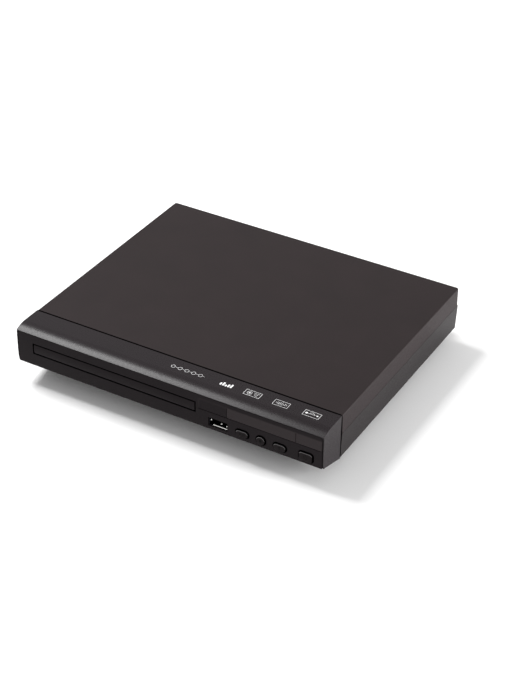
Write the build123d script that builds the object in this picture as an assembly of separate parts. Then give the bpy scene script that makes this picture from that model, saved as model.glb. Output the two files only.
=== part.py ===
from build123d import *
import math
import os

os.makedirs("parts", exist_ok=True)

# A compact DVD player with a front loading tray, in millimetres.
# +Z is up, +X is right seen from the front and the front faces -Y.
# The origin is the middle of the footprint, on the surface that the feet stand on.

# ---- disc and tray: the player is laid out around a 120 mm disc ----
disc_diameter = 120.0
recess_margin = 0.7         # the tray's recess is this much larger than the disc, all round
side_trim = 0.2             # the recess runs out this far through the tray's sides
small_recess_radius = 40.6
small_recess_step = 0.5
tray_side_gap = 0.5
tray_front = 3.0
tray_front_wall = 2.3
tray_tail = 25.3            # from the recess to the tray's rear edge
tray_floor_low = 28.3
tray_floor_thickness = 1.3
tray_rim_high = 32.2
tray_rail_low = 26.2
tray_slot_width = 36.0
rail_inset = 4.5
rail_web = 1.2
rail_foot = 1.5
rail_foot_thickness = 0.8
tray_travel = 125.0
door_side_gap = 0.9
door_edge_gap = 1.0         # between the door and the opening, above and below
recess_radius = disc_diameter / 2 + recess_margin
tray_half = recess_radius - side_trim
slot_width = 2 * (tray_half + tray_side_gap)
disc_depth = tray_front + tray_front_wall + recess_radius
tray_rear = disc_depth + recess_radius + tray_tail
door_low = tray_rail_low - 0.1
door_high = tray_rim_high + 0.1
slot_low = door_low - door_edge_gap + 0.1
slot_high = door_high + door_edge_gap - 0.1

# ---- fits ----
wall = 2.0
seam_gap = 0.8
slide_fit = 0.3             # clearance of pieces that move past each other
shaft_fit = 0.05            # radial clearance of a running shaft
screw_fit = 0.2             # radial clearance of a screw in a plate

# ---- clamp ----
seat_height = 30.8          # the disc's underside when it is clamped
puck_gap = 0.5
puck_thickness = 1.8
puck_radius = 14.0
puck_headroom = 4.6         # the space that the puck needs over its bridge
bridge_thickness = 1.2
bridge_half_depth = 12.0
bridge_hole_radius = 11.0
puck_low = seat_height + puck_gap
bridge_low = max(tray_rim_high + 2.0, puck_low + puck_thickness + 1.1)
bridge_high = bridge_low + bridge_thickness

# ---- loader frame ----
frame_wall = 2.5
frame_front = 5.0
frame_tail = 4.0            # the frame reaches this far behind the tray
frame_low = 14.0
frame_plate = 1.6
frame_wall_high = 31.0
frame_pillar_inset = 6.9
tray_clear = 0.4
bracket_reach = 4.4         # the brackets of the bridge stand out this far at the sides
ledge_low = 27.3
ledge_thickness = 0.7
window_half_width = 41.0
window_front = 46.2
frame_rear = tray_rear + frame_tail
window_rear = frame_rear - 4.0
frame_half_in = tray_half + tray_clear
frame_half_out = frame_half_in + frame_wall

# ---- housing: 223 mm wide, 190 mm deep and 42 mm high over the feet ----
tray_side_margin = 12.3     # from the left side to the tray's opening
control_width = 88.7        # from the tray's opening to the right side
power_gap = 3.0             # between the loader and the power board behind it
power_depth = 27.0
board_back_gap = 2.0
foot_height = 3.0
side_swell = 0.3            # the side walls stand out this far at the parting line
parting_height = 28.3
side_edge_height = 10.4     # lower edge of the side walls
underside_inset = 11.0      # the flat underside lies this far inside the side walls
edge_radius = 1.0
corner_radius = 1.6
jack_reach = 8.5            # the round jacks stand out this far behind the housing
case_width = tray_side_margin + slot_width + control_width
case_depth = frame_rear + power_gap + power_depth + board_back_gap + wall
case_height = bridge_high + puck_headroom + wall
half_width = case_width / 2 - side_swell
tray_center_x = tray_side_margin + slot_width / 2 - case_width / 2

# ---- fascia ----
fascia_depth = 22.3
brow_drop = 2.3
brow_reach = 9.0            # the brow's curve starts this far behind the front
brow_height = case_height - brow_drop
chin_height = 16.3
chin_setback = 0.9
fascia_edge = 0.35          # wall left of the panel's recess, at each end
fascia_edge_height = 10.1   # lower edge of the fascia's ends, at the seam
panel_thickness = 1.5
panel_bulge = 0.5
panel_gap = 0.55            # dark line round the panel
panel_corner = 2.5
backing_thickness = 2.0
front_slope_depth = 18.5    # depth at which the sloped prow reaches the flat underside

# ---- display strip and keys ----
strip_margin = 1.7
strip_drop = 3.2
strip_height = 7.7
trim_width = 20.1           # blank insert left of the display window
receiver_width = 17.5       # insert of the infrared receiver at the right end
line_gap = 0.35
strip_left = tray_center_x + slot_width / 2 + strip_margin
strip_right = case_width / 2 - strip_margin
strip_high = brow_height - strip_drop
strip_low = strip_high - strip_height
window_left = strip_left + trim_width
window_right = strip_right - receiver_width
usb_inset = 14.05
usb_z = 21.8
usb_width = 13.1
usb_height = 5.7
button_z = 21.5
button_gap = 0.6
button_proud = 0.9
button_travel = 0.6
button_flange = 0.8
button_edge = 0.45
key_pitch = 13.0
key_offset = 0.35           # the round key stands this far right of the window's middle
power_inset = 10.2
capsule_length = 9.0
capsule_height = 5.2
round_diameter = 6.4
power_length = 9.6
power_height = 6.6
usb_x = strip_left + usb_inset
stop_x = (window_left + window_right) / 2 + key_offset
play_x = stop_x - key_pitch
open_x = stop_x + key_pitch
power_x = strip_right - power_inset

# ---- loading gears ----
deck_high = 20.0
deck_thickness = 1.6
deck_rear = 42.9
gear_module = 0.8
rack_module = 1.0
rack_offset = 45.8          # the rack's pitch line lies this far left of the disc's middle
rack_body = 2.8
drive_depth = 23.0
drive_small_teeth = 14
drive_large_teeth = 32
idler_small_teeth = 12
idler_large_teeth = 30
pulley_pinion_teeth = 12
pulley_radius = 10.0
motor_pulley_radius = 4.5
belt_width = 1.4
belt_thickness = 1.2
belt_span = 34.6
groove_depth = 0.9
backlash = 0.14
post_radius = 1.5
motor_can_radius = 12.0
motor_can_height = 12.3
motor_depth = 30.4
drive_large_low, drive_large_high = deck_high + 1.0, deck_high + 3.2
pinion_low, pinion_high = deck_high + 6.4, deck_high + 8.0
idler_large_low, idler_large_high = deck_high + 3.9, deck_high + 6.0
pulley_low, pulley_high = deck_high + 0.8, deck_high + 3.3

# ---- disc drive (traverse) ----
pivot_height = 18.0
pivot_radius = 2.0
holder_half_width = 40.0
holder_low = 13.5
holder_high = 19.5
holder_wall = 4.0
plate_low = 23.0
plate_thickness = 1.0
plate_half_width = 38.0
damper_half_spacing = 34.0
turntable_radius = 15.0
hub_radius = 7.4
hub_rise = 2.2
spindle_radius = 1.0
spindle_can_radius = 12.2
spindle_can_low = 14.0
rod_radius = 1.5
rod_half_spacing = 25.0
rod_height = 20.0
lens_radius_in = 24.0       # lens distance from the spindle with the sled home
screw_offset = 29.0
screw_height = 17.8
screw_radius = 1.5
sled_motor_radius = 5.0
tilt_angle = 4.5
cam_travel = 22.0
cam_pin_half_spacing = 28.0
cam_wall_front = 43.6
cam_wall_thickness = 2.0
cam_wall_low = 6.4
cam_pin_radius = 1.5
pivot_depth = tray_rear - 6.0
holder_front = window_front + 1.8
holder_rear = pivot_depth + 4.0
plate_front = holder_front + 2.0
plate_rear = holder_rear - 3.0
damper_front = plate_front + 4.0
damper_rear = plate_rear - 6.0
rod_front = disc_depth + 10.0
rod_rear = plate_rear - 5.0
screw_front = rod_front - 7.4
screw_rear = rod_rear - 8.8
sled_travel = disc_diameter / 2 - 2.0 - lens_radius_in

# ---- boards and rear connectors ----
board_low = 10.0
board_thickness = 1.6
board_gap = 4.4             # between the loader's brackets and the main board
board_side_gap = 9.7
main_front = 62.0
front_board_depth = 15.0
power_width = 71.5
jack_pitch = 14.0
jack_inset = 7.5
jack_axis_rise = 6.4        # jack axis above the board
jack_bore_radius = 1.7
sleeve_radius = 4.15
collar_radius = 5.4
hdmi_gap = 18.0
inlet_inset = 13.5
inlet_axis_rise = 6.3
screw_shank = 1.2
screw_head_radius = 2.5
pillar_radius = 2.6
boss_radius = 3.0
boss_inset = 5.5
boss_front = 34.0
boss_back = 14.0
foot_inset = 25.2
foot_front = 38.0
foot_back = 22.0
foot_radius = 6.5
main_left = tray_center_x + frame_half_out + bracket_reach + board_gap
main_right = half_width - board_side_gap
front_board_left = strip_left + 3.0
front_board_right = strip_right - 1.8
front_board_low = chin_height + 0.9
front_board_high = brow_height - 2.1
power_left = board_side_gap - half_width
power_right = power_left + power_width
power_front = frame_rear + power_gap
first_jack_x = main_right - jack_inset - 2 * jack_pitch
hdmi_x = first_jack_x - hdmi_gap
inlet_x = power_left + inlet_inset

# ---- places worked out from the sizes above ----
front_y = -(case_depth + jack_reach) / 2
back_y = front_y + case_depth
base_z = foot_height
floor_z = base_z + wall
roof_z = case_height - wall
seam_y = front_y + fascia_depth + seam_gap
disc_x = tray_center_x
disc_y = front_y + disc_depth
board_high = board_low + board_thickness
rear_board_y = back_y - wall - board_back_gap
rack_pitch_x = disc_x - rack_offset
drive_x = rack_pitch_x + rack_module * drive_small_teeth / 2
idler_x = drive_x + gear_module * (drive_large_teeth + idler_small_teeth) / 2
pulley_x = idler_x + gear_module * (idler_large_teeth + pulley_pinion_teeth) / 2
gear_y = front_y + drive_depth
motor_y = front_y + motor_depth
motor_x = pulley_x + math.sqrt(belt_span**2 - (motor_y - gear_y) ** 2)
pivot_y = front_y + pivot_depth
plate_high = plate_low + plate_thickness
tray_floor_high = tray_floor_low + tray_floor_thickness
jack_axis_z = board_high + jack_axis_rise
inlet_axis_z = board_high + inlet_axis_rise


def depth_y(depth):
    """Y of a place that lies so far behind the front face."""
    return front_y + depth


def block(x0, x1, y0, y1, z0, z1):
    """A box between two corners."""
    middle = ((x0 + x1) / 2, (y0 + y1) / 2, (z0 + z1) / 2)
    return Pos(*middle) * Box(x1 - x0, y1 - y0, z1 - z0)


def slab(x0, x1, y0, y1, z0, z1, radius):
    """A plate with rounded upright corners."""
    outline = Pos((x0 + x1) / 2, (y0 + y1) / 2, z0) * RectangleRounded(x1 - x0, y1 - y0, radius)
    return extrude(outline, amount=z1 - z0, dir=(0, 0, 1))


def prism_x(points, x0, x1):
    """A (y, z) outline drawn out along X."""
    outline = make_face(Polyline(*[(x0, y, z) for y, z in points], close=True))
    return extrude(outline, amount=x1 - x0, dir=(1, 0, 0))


def prism_y(points, y0, y1):
    """An (x, z) outline drawn out along Y."""
    outline = make_face(Polyline(*[(x, y0, z) for x, z in points], close=True))
    return extrude(outline, amount=y1 - y0, dir=(0, 1, 0))


def prism_z(points, z0, z1):
    """An (x, y) outline drawn out along Z."""
    outline = make_face(Polyline(*[(x, y, z0) for x, y in points], close=True))
    return extrude(outline, amount=z1 - z0, dir=(0, 0, 1))


def post(x, y, z0, z1, radius):
    """An upright cylinder."""
    return Pos(x, y, (z0 + z1) / 2) * Cylinder(radius, z1 - z0)


def stud(x, y, z0, z1, radius, sides=8, flats=False):
    """An upright pillar with flat sides, for small hidden features that repeat.

    With flats, the radius is the clear one between the sides, as for a hole that a screw passes.
    """
    outline = RegularPolygon(radius, sides, major_radius=not flats)
    return Pos(x, y, z0) * extrude(outline, amount=z1 - z0)


def stud_y(x, y0, y1, z, radius, sides=8, flats=False):
    """The same along Y."""
    return Pos(x, y0, z) * Rot(-90, 0, 0) * stud(0, 0, 0, y1 - y0, radius, sides, flats)


def stack(levels, x, y, sides):
    """Upright pillars of (z0, z1, radius) on one axis, joined."""
    low, *others = [stud(x, y, z0, z1, radius, sides) for z0, z1, radius in levels]
    for level in others:
        low += level
    return low


def clipped(x0, x1, y0, y1, z0, z1, corner):
    """A plate with cut corners."""
    points = [(x0 + corner, y0), (x1 - corner, y0), (x1, y0 + corner), (x1, y1 - corner)]
    points += [(x1 - corner, y1), (x0 + corner, y1), (x0, y1 - corner), (x0, y0 + corner)]
    return prism_z(points, z0, z1)


def pin_x(x0, x1, y, z, radius):
    """A cylinder along X."""
    return Pos((x0 + x1) / 2, y, z) * Rot(0, 90, 0) * Cylinder(radius, x1 - x0)


def pin_y(x, y0, y1, z, radius):
    """A cylinder along Y."""
    return Pos(x, (y0 + y1) / 2, z) * Rot(90, 0, 0) * Cylinder(radius, y1 - y0)


def turned(points, x, y):
    """An upright turned piece from its (radius, z) outline."""
    outline = make_face(Polyline(*[(radius, 0, z) for radius, z in points], close=True))
    return Pos(x, y, 0) * revolve(outline, axis=Axis.Z)


def front_pocket(x, z, width, height, radius, y0, y1):
    """A rounded oblong drawn out along Y, for buttons and openings of the front."""
    outline = Plane.XZ * Pos(x, z) * RectangleRounded(width, height, radius)
    return Pos(0, y0, 0) * extrude(outline, amount=y1 - y0, dir=(0, 1, 0))


def trimmed(solid, planes):
    """The part of a solid that lies behind every one of the planes."""
    for plane in planes:
        solid = split(solid, bisect_by=plane, keep=Keep.BOTTOM)
    return solid


# ---- housing ----


def side_planes(inward):
    """The two sloped underside planes along the sides, moved inward by a wall."""
    rise = side_edge_height - base_z
    planes = []
    for side in (-1, 1):
        normal = Vector(side * rise, 0, -underside_inset).normalized()
        edge = Vector(side * half_width, 0, side_edge_height)
        planes.append(Plane(origin=edge - normal * inward, x_dir=(0, 1, 0), z_dir=normal))
    return planes


def prow_planes(inward):
    """The sloped planes that close the lower shell under the fascia."""
    run = front_slope_depth - chin_setback
    drop = chin_height - base_z
    front_normal = Vector(0, -drop, -run).normalized()
    front_edge = Vector(0, front_y + chin_setback, chin_height)
    planes = [Plane(origin=front_edge - front_normal * inward, x_dir=(1, 0, 0), z_dir=front_normal)]
    climb = (chin_height - fascia_edge_height) / fascia_depth
    for side in (-1, 1):
        normal = Vector(side * 1.2, -climb, -1).normalized()
        edge = Vector(side * half_width, seam_y, fascia_edge_height)
        planes.append(Plane(origin=edge - normal * inward, x_dir=(0, 1, 0), z_dir=normal))
    return planes


def lower_body(inward):
    """The space inside the lower housing behind the seam, or its outside where inward is 0."""
    outer = half_width + side_swell - inward
    low = base_z + inward
    back = back_y - inward
    top = parting_height if inward == 0 else parting_height + 1
    body = block(-outer, outer, seam_y, back, low, top)
    lean = Vector(side_edge_height - parting_height, 0, -side_swell * 2).normalized()
    walls = []
    for side in (-1, 1):
        normal = Vector(-side * lean.X, 0, lean.Z)
        edge = Vector(side * outer, 0, parting_height)
        walls.append(Plane(origin=edge, x_dir=(0, 1, 0), z_dir=normal))
    return trimmed(body, side_planes(inward) + walls)


def prow(inward):
    """The boat-shaped lower shell under the fascia."""
    end = half_width - wall - line_gap - inward
    lip = front_y + panel_thickness + backing_thickness + line_gap
    body = block(-end, end, lip + inward, seam_y + inward, base_z + inward, chin_height)
    gap = 0.15 if inward == 0 else -1
    run = fascia_depth - chin_setback
    normal = Vector(0, chin_height - fascia_edge_height, run).normalized()
    rim = Vector(0, front_y + chin_setback, chin_height) - normal * gap
    roof = Plane(origin=rim, x_dir=(1, 0, 0), z_dir=normal)
    return trimmed(body, prow_planes(inward) + [roof])


def boss_places():
    """Where the housing screws stand."""
    depths = (boss_front, case_depth - boss_back)
    return [(side * (half_width - boss_inset), depth_y(depth)) for side in (-1, 1) for depth in depths]


def make_bottom_case():
    """Lower housing with its prow, bosses, pillars, vents and rear openings."""
    shell = lower_body(0) + prow(0)
    shell -= lower_body(wall) + prow(wall)
    mouth = half_width - 4
    shell -= block(-mouth, mouth, seam_y - 1, seam_y + wall + 1, floor_z, parting_height + 1)
    for x, y in boss_places():
        shell += stud(x, y, base_z + 1, deck_high, boss_radius + 0.2) & lower_body(wall / 2)
        shell -= stud(x, y, base_z + 2.6, deck_high, screw_shank + screw_fit, flats=True)
        shell -= stud(x, y, base_z - 1, base_z + 6.6, screw_head_radius + screw_fit, 12, flats=True)
    for x, y in board_pillars() + power_pillars():
        shell += stud(x, y, floor_z - 0.5, board_low, pillar_radius)
        shell -= stud(x, y, floor_z, board_low, screw_shank + shaft_fit, 6, flats=True)
    for x, y in frame_pillars():
        shell += stud(x, y, floor_z - 0.5, frame_low, boss_radius)
        shell -= stud(x, y, floor_z, frame_low, screw_shank + shaft_fit, 6, flats=True)
    for column in range(8):
        for row in (-1, 1):
            x = power_left + 12 + column * 7
            y = depth_y(power_front + 13) + row * 5.5
            shell -= block(x, x + 2.4, y - 4, y + 4, base_z - 1, floor_z + 0.1)
    for column in range(10):
        x = main_left + 6 + column * 6
        shell -= block(x, x + 2.4, depth_y(120), depth_y(140), base_z - 1, floor_z + 0.1)
    for cut in rear_cuts():
        shell -= cut
    for x, y in foot_places():
        shell -= stud(x, y, base_z - 1, base_z + 0.6, foot_radius + 0.1, 20, flats=True)
    return shell


def make_top_cover():
    """Upper housing: a flat top, side walls down to the parting line and a rear wall."""
    low = parting_height + 0.2
    points = [(-half_width - side_swell, low), (-half_width, case_height), (half_width, case_height)]
    points.append((half_width + side_swell, low))
    shell = prism_y(points, seam_y, back_y)
    upright = shell.edges().filter_by(GeomType.LINE).sort_by(Axis.Y)[-4:]
    upright = [edge for edge in upright if abs(edge.tangent_at(0.5).Z) > 0.9]
    shell = fillet(upright, corner_radius)
    rim = shell.faces().sort_by(Axis.Z)[-1].edges()
    front = rim.sort_by(Axis.Y)[0]
    shell = fillet([edge for edge in rim if edge.center().Y > front.center().Y + 1], edge_radius)
    foot, shoulder = half_width + side_swell - wall, half_width - wall
    inner = [(-foot, low - 1), (-shoulder, roof_z), (shoulder, roof_z), (foot, low - 1)]
    shell -= prism_y(inner, seam_y - 1, back_y - wall)
    tongue = half_width - wall - 0.6
    shell += block(-tongue, tongue, seam_y - 3.5, seam_y + 3, roof_z - 1.8, roof_z - 0.6)
    shell += block(-tongue, tongue, seam_y, seam_y + 3, roof_z - 0.7, roof_z + 0.2)
    for side in (-1, 1):
        x0, x1 = sorted((side * tongue, side * (tongue - 1.2)))
        shell += block(x0, x1, seam_y - 3.5, seam_y + 3, low + 2, roof_z - 0.6)
        x0, x1 = sorted((side * tongue, side * (half_width - wall + 0.2)))
        shell += block(x0, x1, seam_y, seam_y + 3, low + 2, roof_z)
    for x, y in boss_places():
        shell += stud(x, y, deck_high + 0.1, roof_z + 0.5, boss_radius)
        shell -= stud(x, y, deck_high - 1, roof_z - 4, screw_shank + shaft_fit, flats=True)
    for depth in (44, 96, 128):
        y = depth_y(depth)
        shell += block(-half_width + 8, half_width - 8, y, y + 1.2, roof_z - 1.4, roof_z + 0.2)
    for side in (-1, 1):
        x0, x1 = sorted((side * (half_width - wall - 0.1), side * (half_width - wall - 1.2)))
        shell += block(x0, x1, seam_y + 8, seam_y + 60, parting_height - 3, roof_z)
    return shell


def fascia_outline(inward):
    """Side outline of the fascia, pulled in by a wall."""
    back = fascia_depth + (inward and 1)
    top, brow = case_height - inward, brow_height - inward * 0.7
    radius = (brow_reach**2 + (top - brow) ** 2) / 2 / (top - brow)
    half = math.atan((top - brow) / brow_reach)
    middle = (brow_reach + inward - radius * math.sin(half), top - radius * (1 - math.cos(half)))
    points = [(back, top), (brow_reach + inward, top), middle, (inward, brow)]
    points += [(inward, 26.0), (0.2 + inward, 20.0)]
    if inward:
        points += [(chin_setback + inward, base_z), (back, base_z)]
    else:
        points += [(chin_setback, chin_height), (back, fascia_edge_height)]
    return points


def fascia_body(inward):
    """The fascia's outside, or the space inside its walls."""
    points = fascia_outline(inward)
    places = [(depth_y(depth), z) for depth, z in points]
    x0 = -half_width + inward
    curve = ThreePointArc(*[(x0, y, z) for y, z in places[1:4]])
    edges = [Line((x0, *places[0]), (x0, *places[1])), curve]
    for start, end in zip(places[3:], places[4:] + places[:1], strict=True):
        edges.append(Line((x0, *start), (x0, *end)))
    return extrude(make_face(edges), amount=-2 * x0, dir=(1, 0, 0))


def front_openings(grow, y0, y1):
    """The openings for the tray, socket and buttons, as one cutting shape.

    Grown, they are the plain openings of the backing, which the panel hides.
    """
    half = slot_width / 2
    cut = block(tray_center_x - half, tray_center_x + half, y0, y1, slot_low, slot_high)
    half, rise = usb_width / 2 + 0.25, usb_height / 2 + 0.25
    cut += block(usb_x - half, usb_x + half, y0, y1, usb_z - rise, usb_z + rise)
    for x, width, height, radius in button_shapes():
        gap = 2 * (button_gap + grow)
        if grow:
            half, rise = (width + gap) / 2, (height + gap) / 2
            cut += block(x - half, x + half, y0, y1, button_z - rise, button_z + rise)
        else:
            cut += front_pocket(x, button_z, width + gap, height + gap, radius + gap / 2, y0, y1)
    return cut


def light_openings(y0, y1):
    """The openings behind the display window and the receiver's window."""
    display = block(window_left + 1, window_right - 1, y0, y1, strip_low + 0.6, strip_high - 0.6)
    return [display, block(window_right + 4, strip_right - 3, y0, y1, strip_low + 1, strip_high - 1)]


def make_fascia_shell():
    """Front moulding with a recess for the dark panel."""
    shell = fascia_body(0)
    backing = front_y + panel_thickness + backing_thickness
    behind = block(-case_width, case_width, backing, back_y, 0, case_height)
    shell -= fascia_body(wall + 0.2) & behind
    recess = half_width - fascia_edge
    shell -= front_pocket(
        0,
        (brow_height + chin_height - 1.5) / 2,
        2 * recess,
        brow_height - chin_height + 1.5,
        panel_corner,
        front_y - 2,
        front_y + panel_thickness + 0.1,
    )
    shell -= front_openings(0.3, front_y - 1, front_y + 6)
    for cut in light_openings(front_y, front_y + 6):
        shell -= cut
    for x, z in front_board_bosses():
        y0 = backing - 0.5
        shell += stud_y(x, y0, depth_y(front_board_depth), z, pillar_radius)
        shell -= stud_y(x, y0 + 3, depth_y(front_board_depth), z, screw_shank + shaft_fit, flats=True)
    return shell


def panel_face(x0, x1, z0, z1, y0, thickness):
    """A plate whose front bulges gently, as the face of the player does."""
    depth = panel_bulge * 0.5
    start, middle, end = (x0, y0 + depth, z0), (x0, y0, (z0 + z1) / 2), (x0, y0 + depth, z1)
    far_end, far_start = (x0, y0 + thickness, z1), (x0, y0 + thickness, z0)
    edges = [ThreePointArc(start, middle, end), Line(end, far_end)]
    edges += [Line(far_end, far_start), Line(far_start, start)]
    return extrude(make_face(edges), amount=x1 - x0, dir=(1, 0, 0))


def make_front_panel():
    """Dark insert of the face."""
    side = half_width - fascia_edge - panel_gap
    high = brow_height - panel_gap
    panel = panel_face(-side, side, chin_height, high, front_y, panel_thickness)
    corners = [edge for edge in panel.edges().filter_by(Axis.Y) if edge.center().Z > high - 1]
    panel = fillet(corners, panel_corner - panel_gap)
    panel -= front_openings(0, front_y - 1, front_y + 3)
    panel -= block(strip_left, strip_right, front_y - 1, front_y + 0.9, strip_low, strip_high)
    for cut in light_openings(front_y, front_y + 3):
        panel -= cut
    trim = block(strip_left + line_gap, window_left - line_gap / 2, front_y + 0.1, front_y + 1.0,
                 strip_low + line_gap, strip_high - line_gap)
    return panel + trim


def make_strip_insert(x0, x1):
    """One smoked insert of the display strip."""
    return block(x0, x1, front_y + 0.1, front_y + 0.85, strip_low + line_gap, strip_high - line_gap)


def button_shapes():
    """Centre, width, height and corner radius of each button."""
    capsule = (capsule_length, capsule_height, capsule_height / 2 - 0.05)
    return [
        (play_x, *capsule),
        (stop_x, round_diameter, round_diameter, round_diameter / 2 - 0.05),
        (open_x, *capsule),
        (power_x, power_length, power_height, 2.0),
    ]


def make_button(shape):
    """A push button: a head with broken edges, a flange behind the fascia and a stem."""
    x, width, height, radius = shape
    backing = front_y + panel_thickness + backing_thickness
    head = front_pocket(x, button_z, width, height, radius, front_y - button_proud, backing + 0.4)
    face = head.faces().sort_by(Axis.Y)[0]
    head = chamfer(face.edges(), button_edge)
    rear = backing + slide_fit
    half, rise = width / 2 + button_gap + 0.6, height / 2 + button_gap + 0.6
    flange = block(x - half, x + half, rear, rear + button_flange, button_z - rise, button_z + rise)
    tip = depth_y(front_board_depth) - 9.5 - button_travel - 0.1
    return head + flange + block(x - 1.5, x + 1.5, rear, tip, button_z - 1.5, button_z + 1.5)


# ---- feet and screws ----


def foot_places():
    """Centres of the four feet."""
    depths = (foot_front, case_depth - foot_back)
    return [(side * (half_width - foot_inset), depth_y(depth)) for side in (-1, 1) for depth in depths]


def make_rubber_feet():
    """Four rubber feet seated in shallow wells."""
    foot = stud(0, 0, 0, base_z + 0.6, foot_radius, 20)
    foot = chamfer(foot.faces().sort_by(Axis.Z)[0].edges(), 0.8)
    return [Pos(x, y, 0) * foot for x, y in foot_places()]


def make_screw(x, y, head_low, tip, head_high):
    """An upright screw with its head at one end; its thread and recess are left out."""
    up = 1 if tip > head_low else -1
    shoulder = head_low + up * head_high
    head = stud(x, y, *sorted((head_low, shoulder)), screw_head_radius)
    return head + stud(x, y, *sorted((shoulder - up * 0.2, tip)), screw_shank, 6)


def make_case_screws():
    """Four long screws from below into the upper housing."""
    return [make_screw(x, y, base_z + 4.4, roof_z - 8, 2.2) for x, y in boss_places()]


def make_chassis_screws():
    """Screws of the loader frame, the bridge, the boards and the front board."""
    plate = frame_low + frame_plate
    screws = [make_screw(x, y, plate + 1.8, frame_low - 6, 1.8) for x, y in frame_pillars()]
    screws += [make_screw(x, y, board_high + 1.8, board_low - 4.5, 1.8) for x, y in board_pillars()]
    screws += [make_screw(x, y, board_high + 1.8, board_low - 4.5, 1.8) for x, y in power_pillars()]
    screws += [make_screw(x, disc_y, bridge_high + 1.8, bridge_low - 5, 1.8) for x in bridge_screw_x()]
    for x, z in front_board_bosses():
        y = depth_y(front_board_depth) + board_thickness
        flat = make_screw(0, 0, 1.8, -7, 1.8)
        screws.append(Pos(x, y, z) * Rot(-90, 0, 0) * flat)
    return screws


# ---- loader frame ----


def frame_pillars():
    """Pillars of the lower housing that carry the loader frame."""
    reach = frame_half_out - frame_pillar_inset
    depths = (52, frame_rear - 18)
    return [(disc_x + side * reach, depth_y(depth)) for side in (-1, 1) for depth in depths]


def bridge_screw_x():
    """Where the clamp bridge is screwed to the frame."""
    return [disc_x + side * (frame_half_out + 2.2) for side in (-1, 1)]


def make_loader_frame():
    """Plastic frame of the mechanism: side walls, guide ledges, gear deck and window."""
    x0, x1 = disc_x - frame_half_out, disc_x + frame_half_out
    inner0, inner1 = disc_x - frame_half_in, disc_x + frame_half_in
    front, rear = depth_y(frame_front), depth_y(frame_rear)
    frame = block(inner0, inner1, depth_y(window_front), rear, frame_low, frame_low + frame_plate)
    frame += block(inner0, inner1, front, depth_y(deck_rear), deck_high - deck_thickness, deck_high)
    for side in (-1, 1):
        a, b = sorted((disc_x + side * frame_half_in, disc_x + side * frame_half_out))
        low = frame_low + 4.4
        points = [(front, low), (depth_y(16), low), (depth_y(22), frame_low), (rear, frame_low)]
        points += [(rear, frame_wall_high), (depth_y(86), frame_wall_high), (depth_y(82), bridge_low)]
        points += [(depth_y(50), bridge_low), (depth_y(46), frame_wall_high), (front, frame_wall_high)]
        frame += prism_x(points, a, b)
        reach = disc_x + side * (tray_half - rail_inset + 0.4)
        a, b = sorted((disc_x + side * (frame_half_in + 0.5), reach))
        frame += block(a, b, front, depth_y(window_rear), ledge_low, ledge_low + ledge_thickness)
        a, b = sorted((disc_x + side * frame_half_in, disc_x + side * (frame_half_in - 5)))
        frame += block(a, b, depth_y(deck_rear - 2), depth_y(window_front + 2), frame_low, deck_high)
        inner = disc_x + side * (frame_half_out - 0.5)
        a, b = sorted((inner, disc_x + side * (frame_half_out + bracket_reach)))
        frame += block(a, b, disc_y - 5, disc_y + 5, bridge_low - 8, bridge_low)
    frame += block(inner0, inner1, rear - frame_wall, rear, frame_low, tray_rail_low - 0.6)
    frame -= block(disc_x - window_half_width, disc_x + window_half_width, depth_y(window_front) - 1,
                   depth_y(window_rear), frame_low - 1, frame_low + frame_plate + 0.01)
    for side in (-1, 1):
        near = holder_half_width + 1.3
        a, b = sorted((disc_x + side * near, disc_x + side * (near + 2.7)))
        frame += block(a, b, pivot_y - 3.8, pivot_y + 3.8, frame_low, pivot_height + 3.5)
        frame -= pin_x(a - 1, b + 1, pivot_y, pivot_height, pivot_radius + shaft_fit)
    for x in (drive_x, idler_x, pulley_x):
        frame += post(x, gear_y, deck_high - 0.5, tray_floor_low - 0.5, post_radius)
        frame += stud(x, gear_y, deck_high - 0.5, deck_high + 0.3, 3.0, 12)
    for x in (disc_x + 8, disc_x + 44):
        frame += block(x, x + 5, depth_y(35.4), depth_y(37.6), deck_high - 0.5, deck_high + 4)
        frame += block(x, x + 5, depth_y(35.4), depth_y(40.2), deck_high + 2.6, deck_high + 4)
    frame -= stud(motor_x, motor_y, deck_high - deck_thickness - 1, deck_high + 1, 3.2, 12, flats=True)
    for x in (motor_x - 8, motor_x + 8):
        frame -= stud(x, motor_y, deck_high - deck_thickness - 1, deck_high + 1, 1.3)
    for x, y in frame_pillars():
        high = frame_low + frame_plate + 1
        frame -= stud(x, y, frame_low - 1, high, screw_shank + screw_fit, flats=True)
    for x in bridge_screw_x():
        frame -= stud(x, disc_y, bridge_low - 6, bridge_low + 1, screw_shank + shaft_fit, flats=True)
    return frame


def make_clamp_bridge():
    """Pressed bridge over the disc with a round eye for the puck."""
    x0, x1 = disc_x - frame_half_out - bracket_reach, disc_x + frame_half_out + bracket_reach
    y0, y1 = disc_y - bridge_half_depth, disc_y + bridge_half_depth
    bridge = clipped(x0, x1, y0 + 4, y1 - 4, bridge_low, bridge_high, 1.5)
    bridge += clipped(x0 + 10, x1 - 10, y0, y1, bridge_low, bridge_high, 2)
    bridge += post(disc_x, disc_y, bridge_low, bridge_high, bridge_hole_radius + 6)
    for y in (y0, y1 - bridge_thickness):
        for a, b in ((x0 + 14, disc_x - 18), (disc_x + 18, x1 - 14)):
            bridge += block(a, b, y, y + bridge_thickness, bridge_high - 0.3, bridge_high + 2.4)
    bridge -= post(disc_x, disc_y, bridge_low - 1, bridge_high + 2, bridge_hole_radius)
    for x in bridge_screw_x():
        bridge -= stud(x, disc_y, bridge_low - 1, bridge_high + 1, screw_shank + screw_fit, flats=True)
    return bridge


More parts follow.
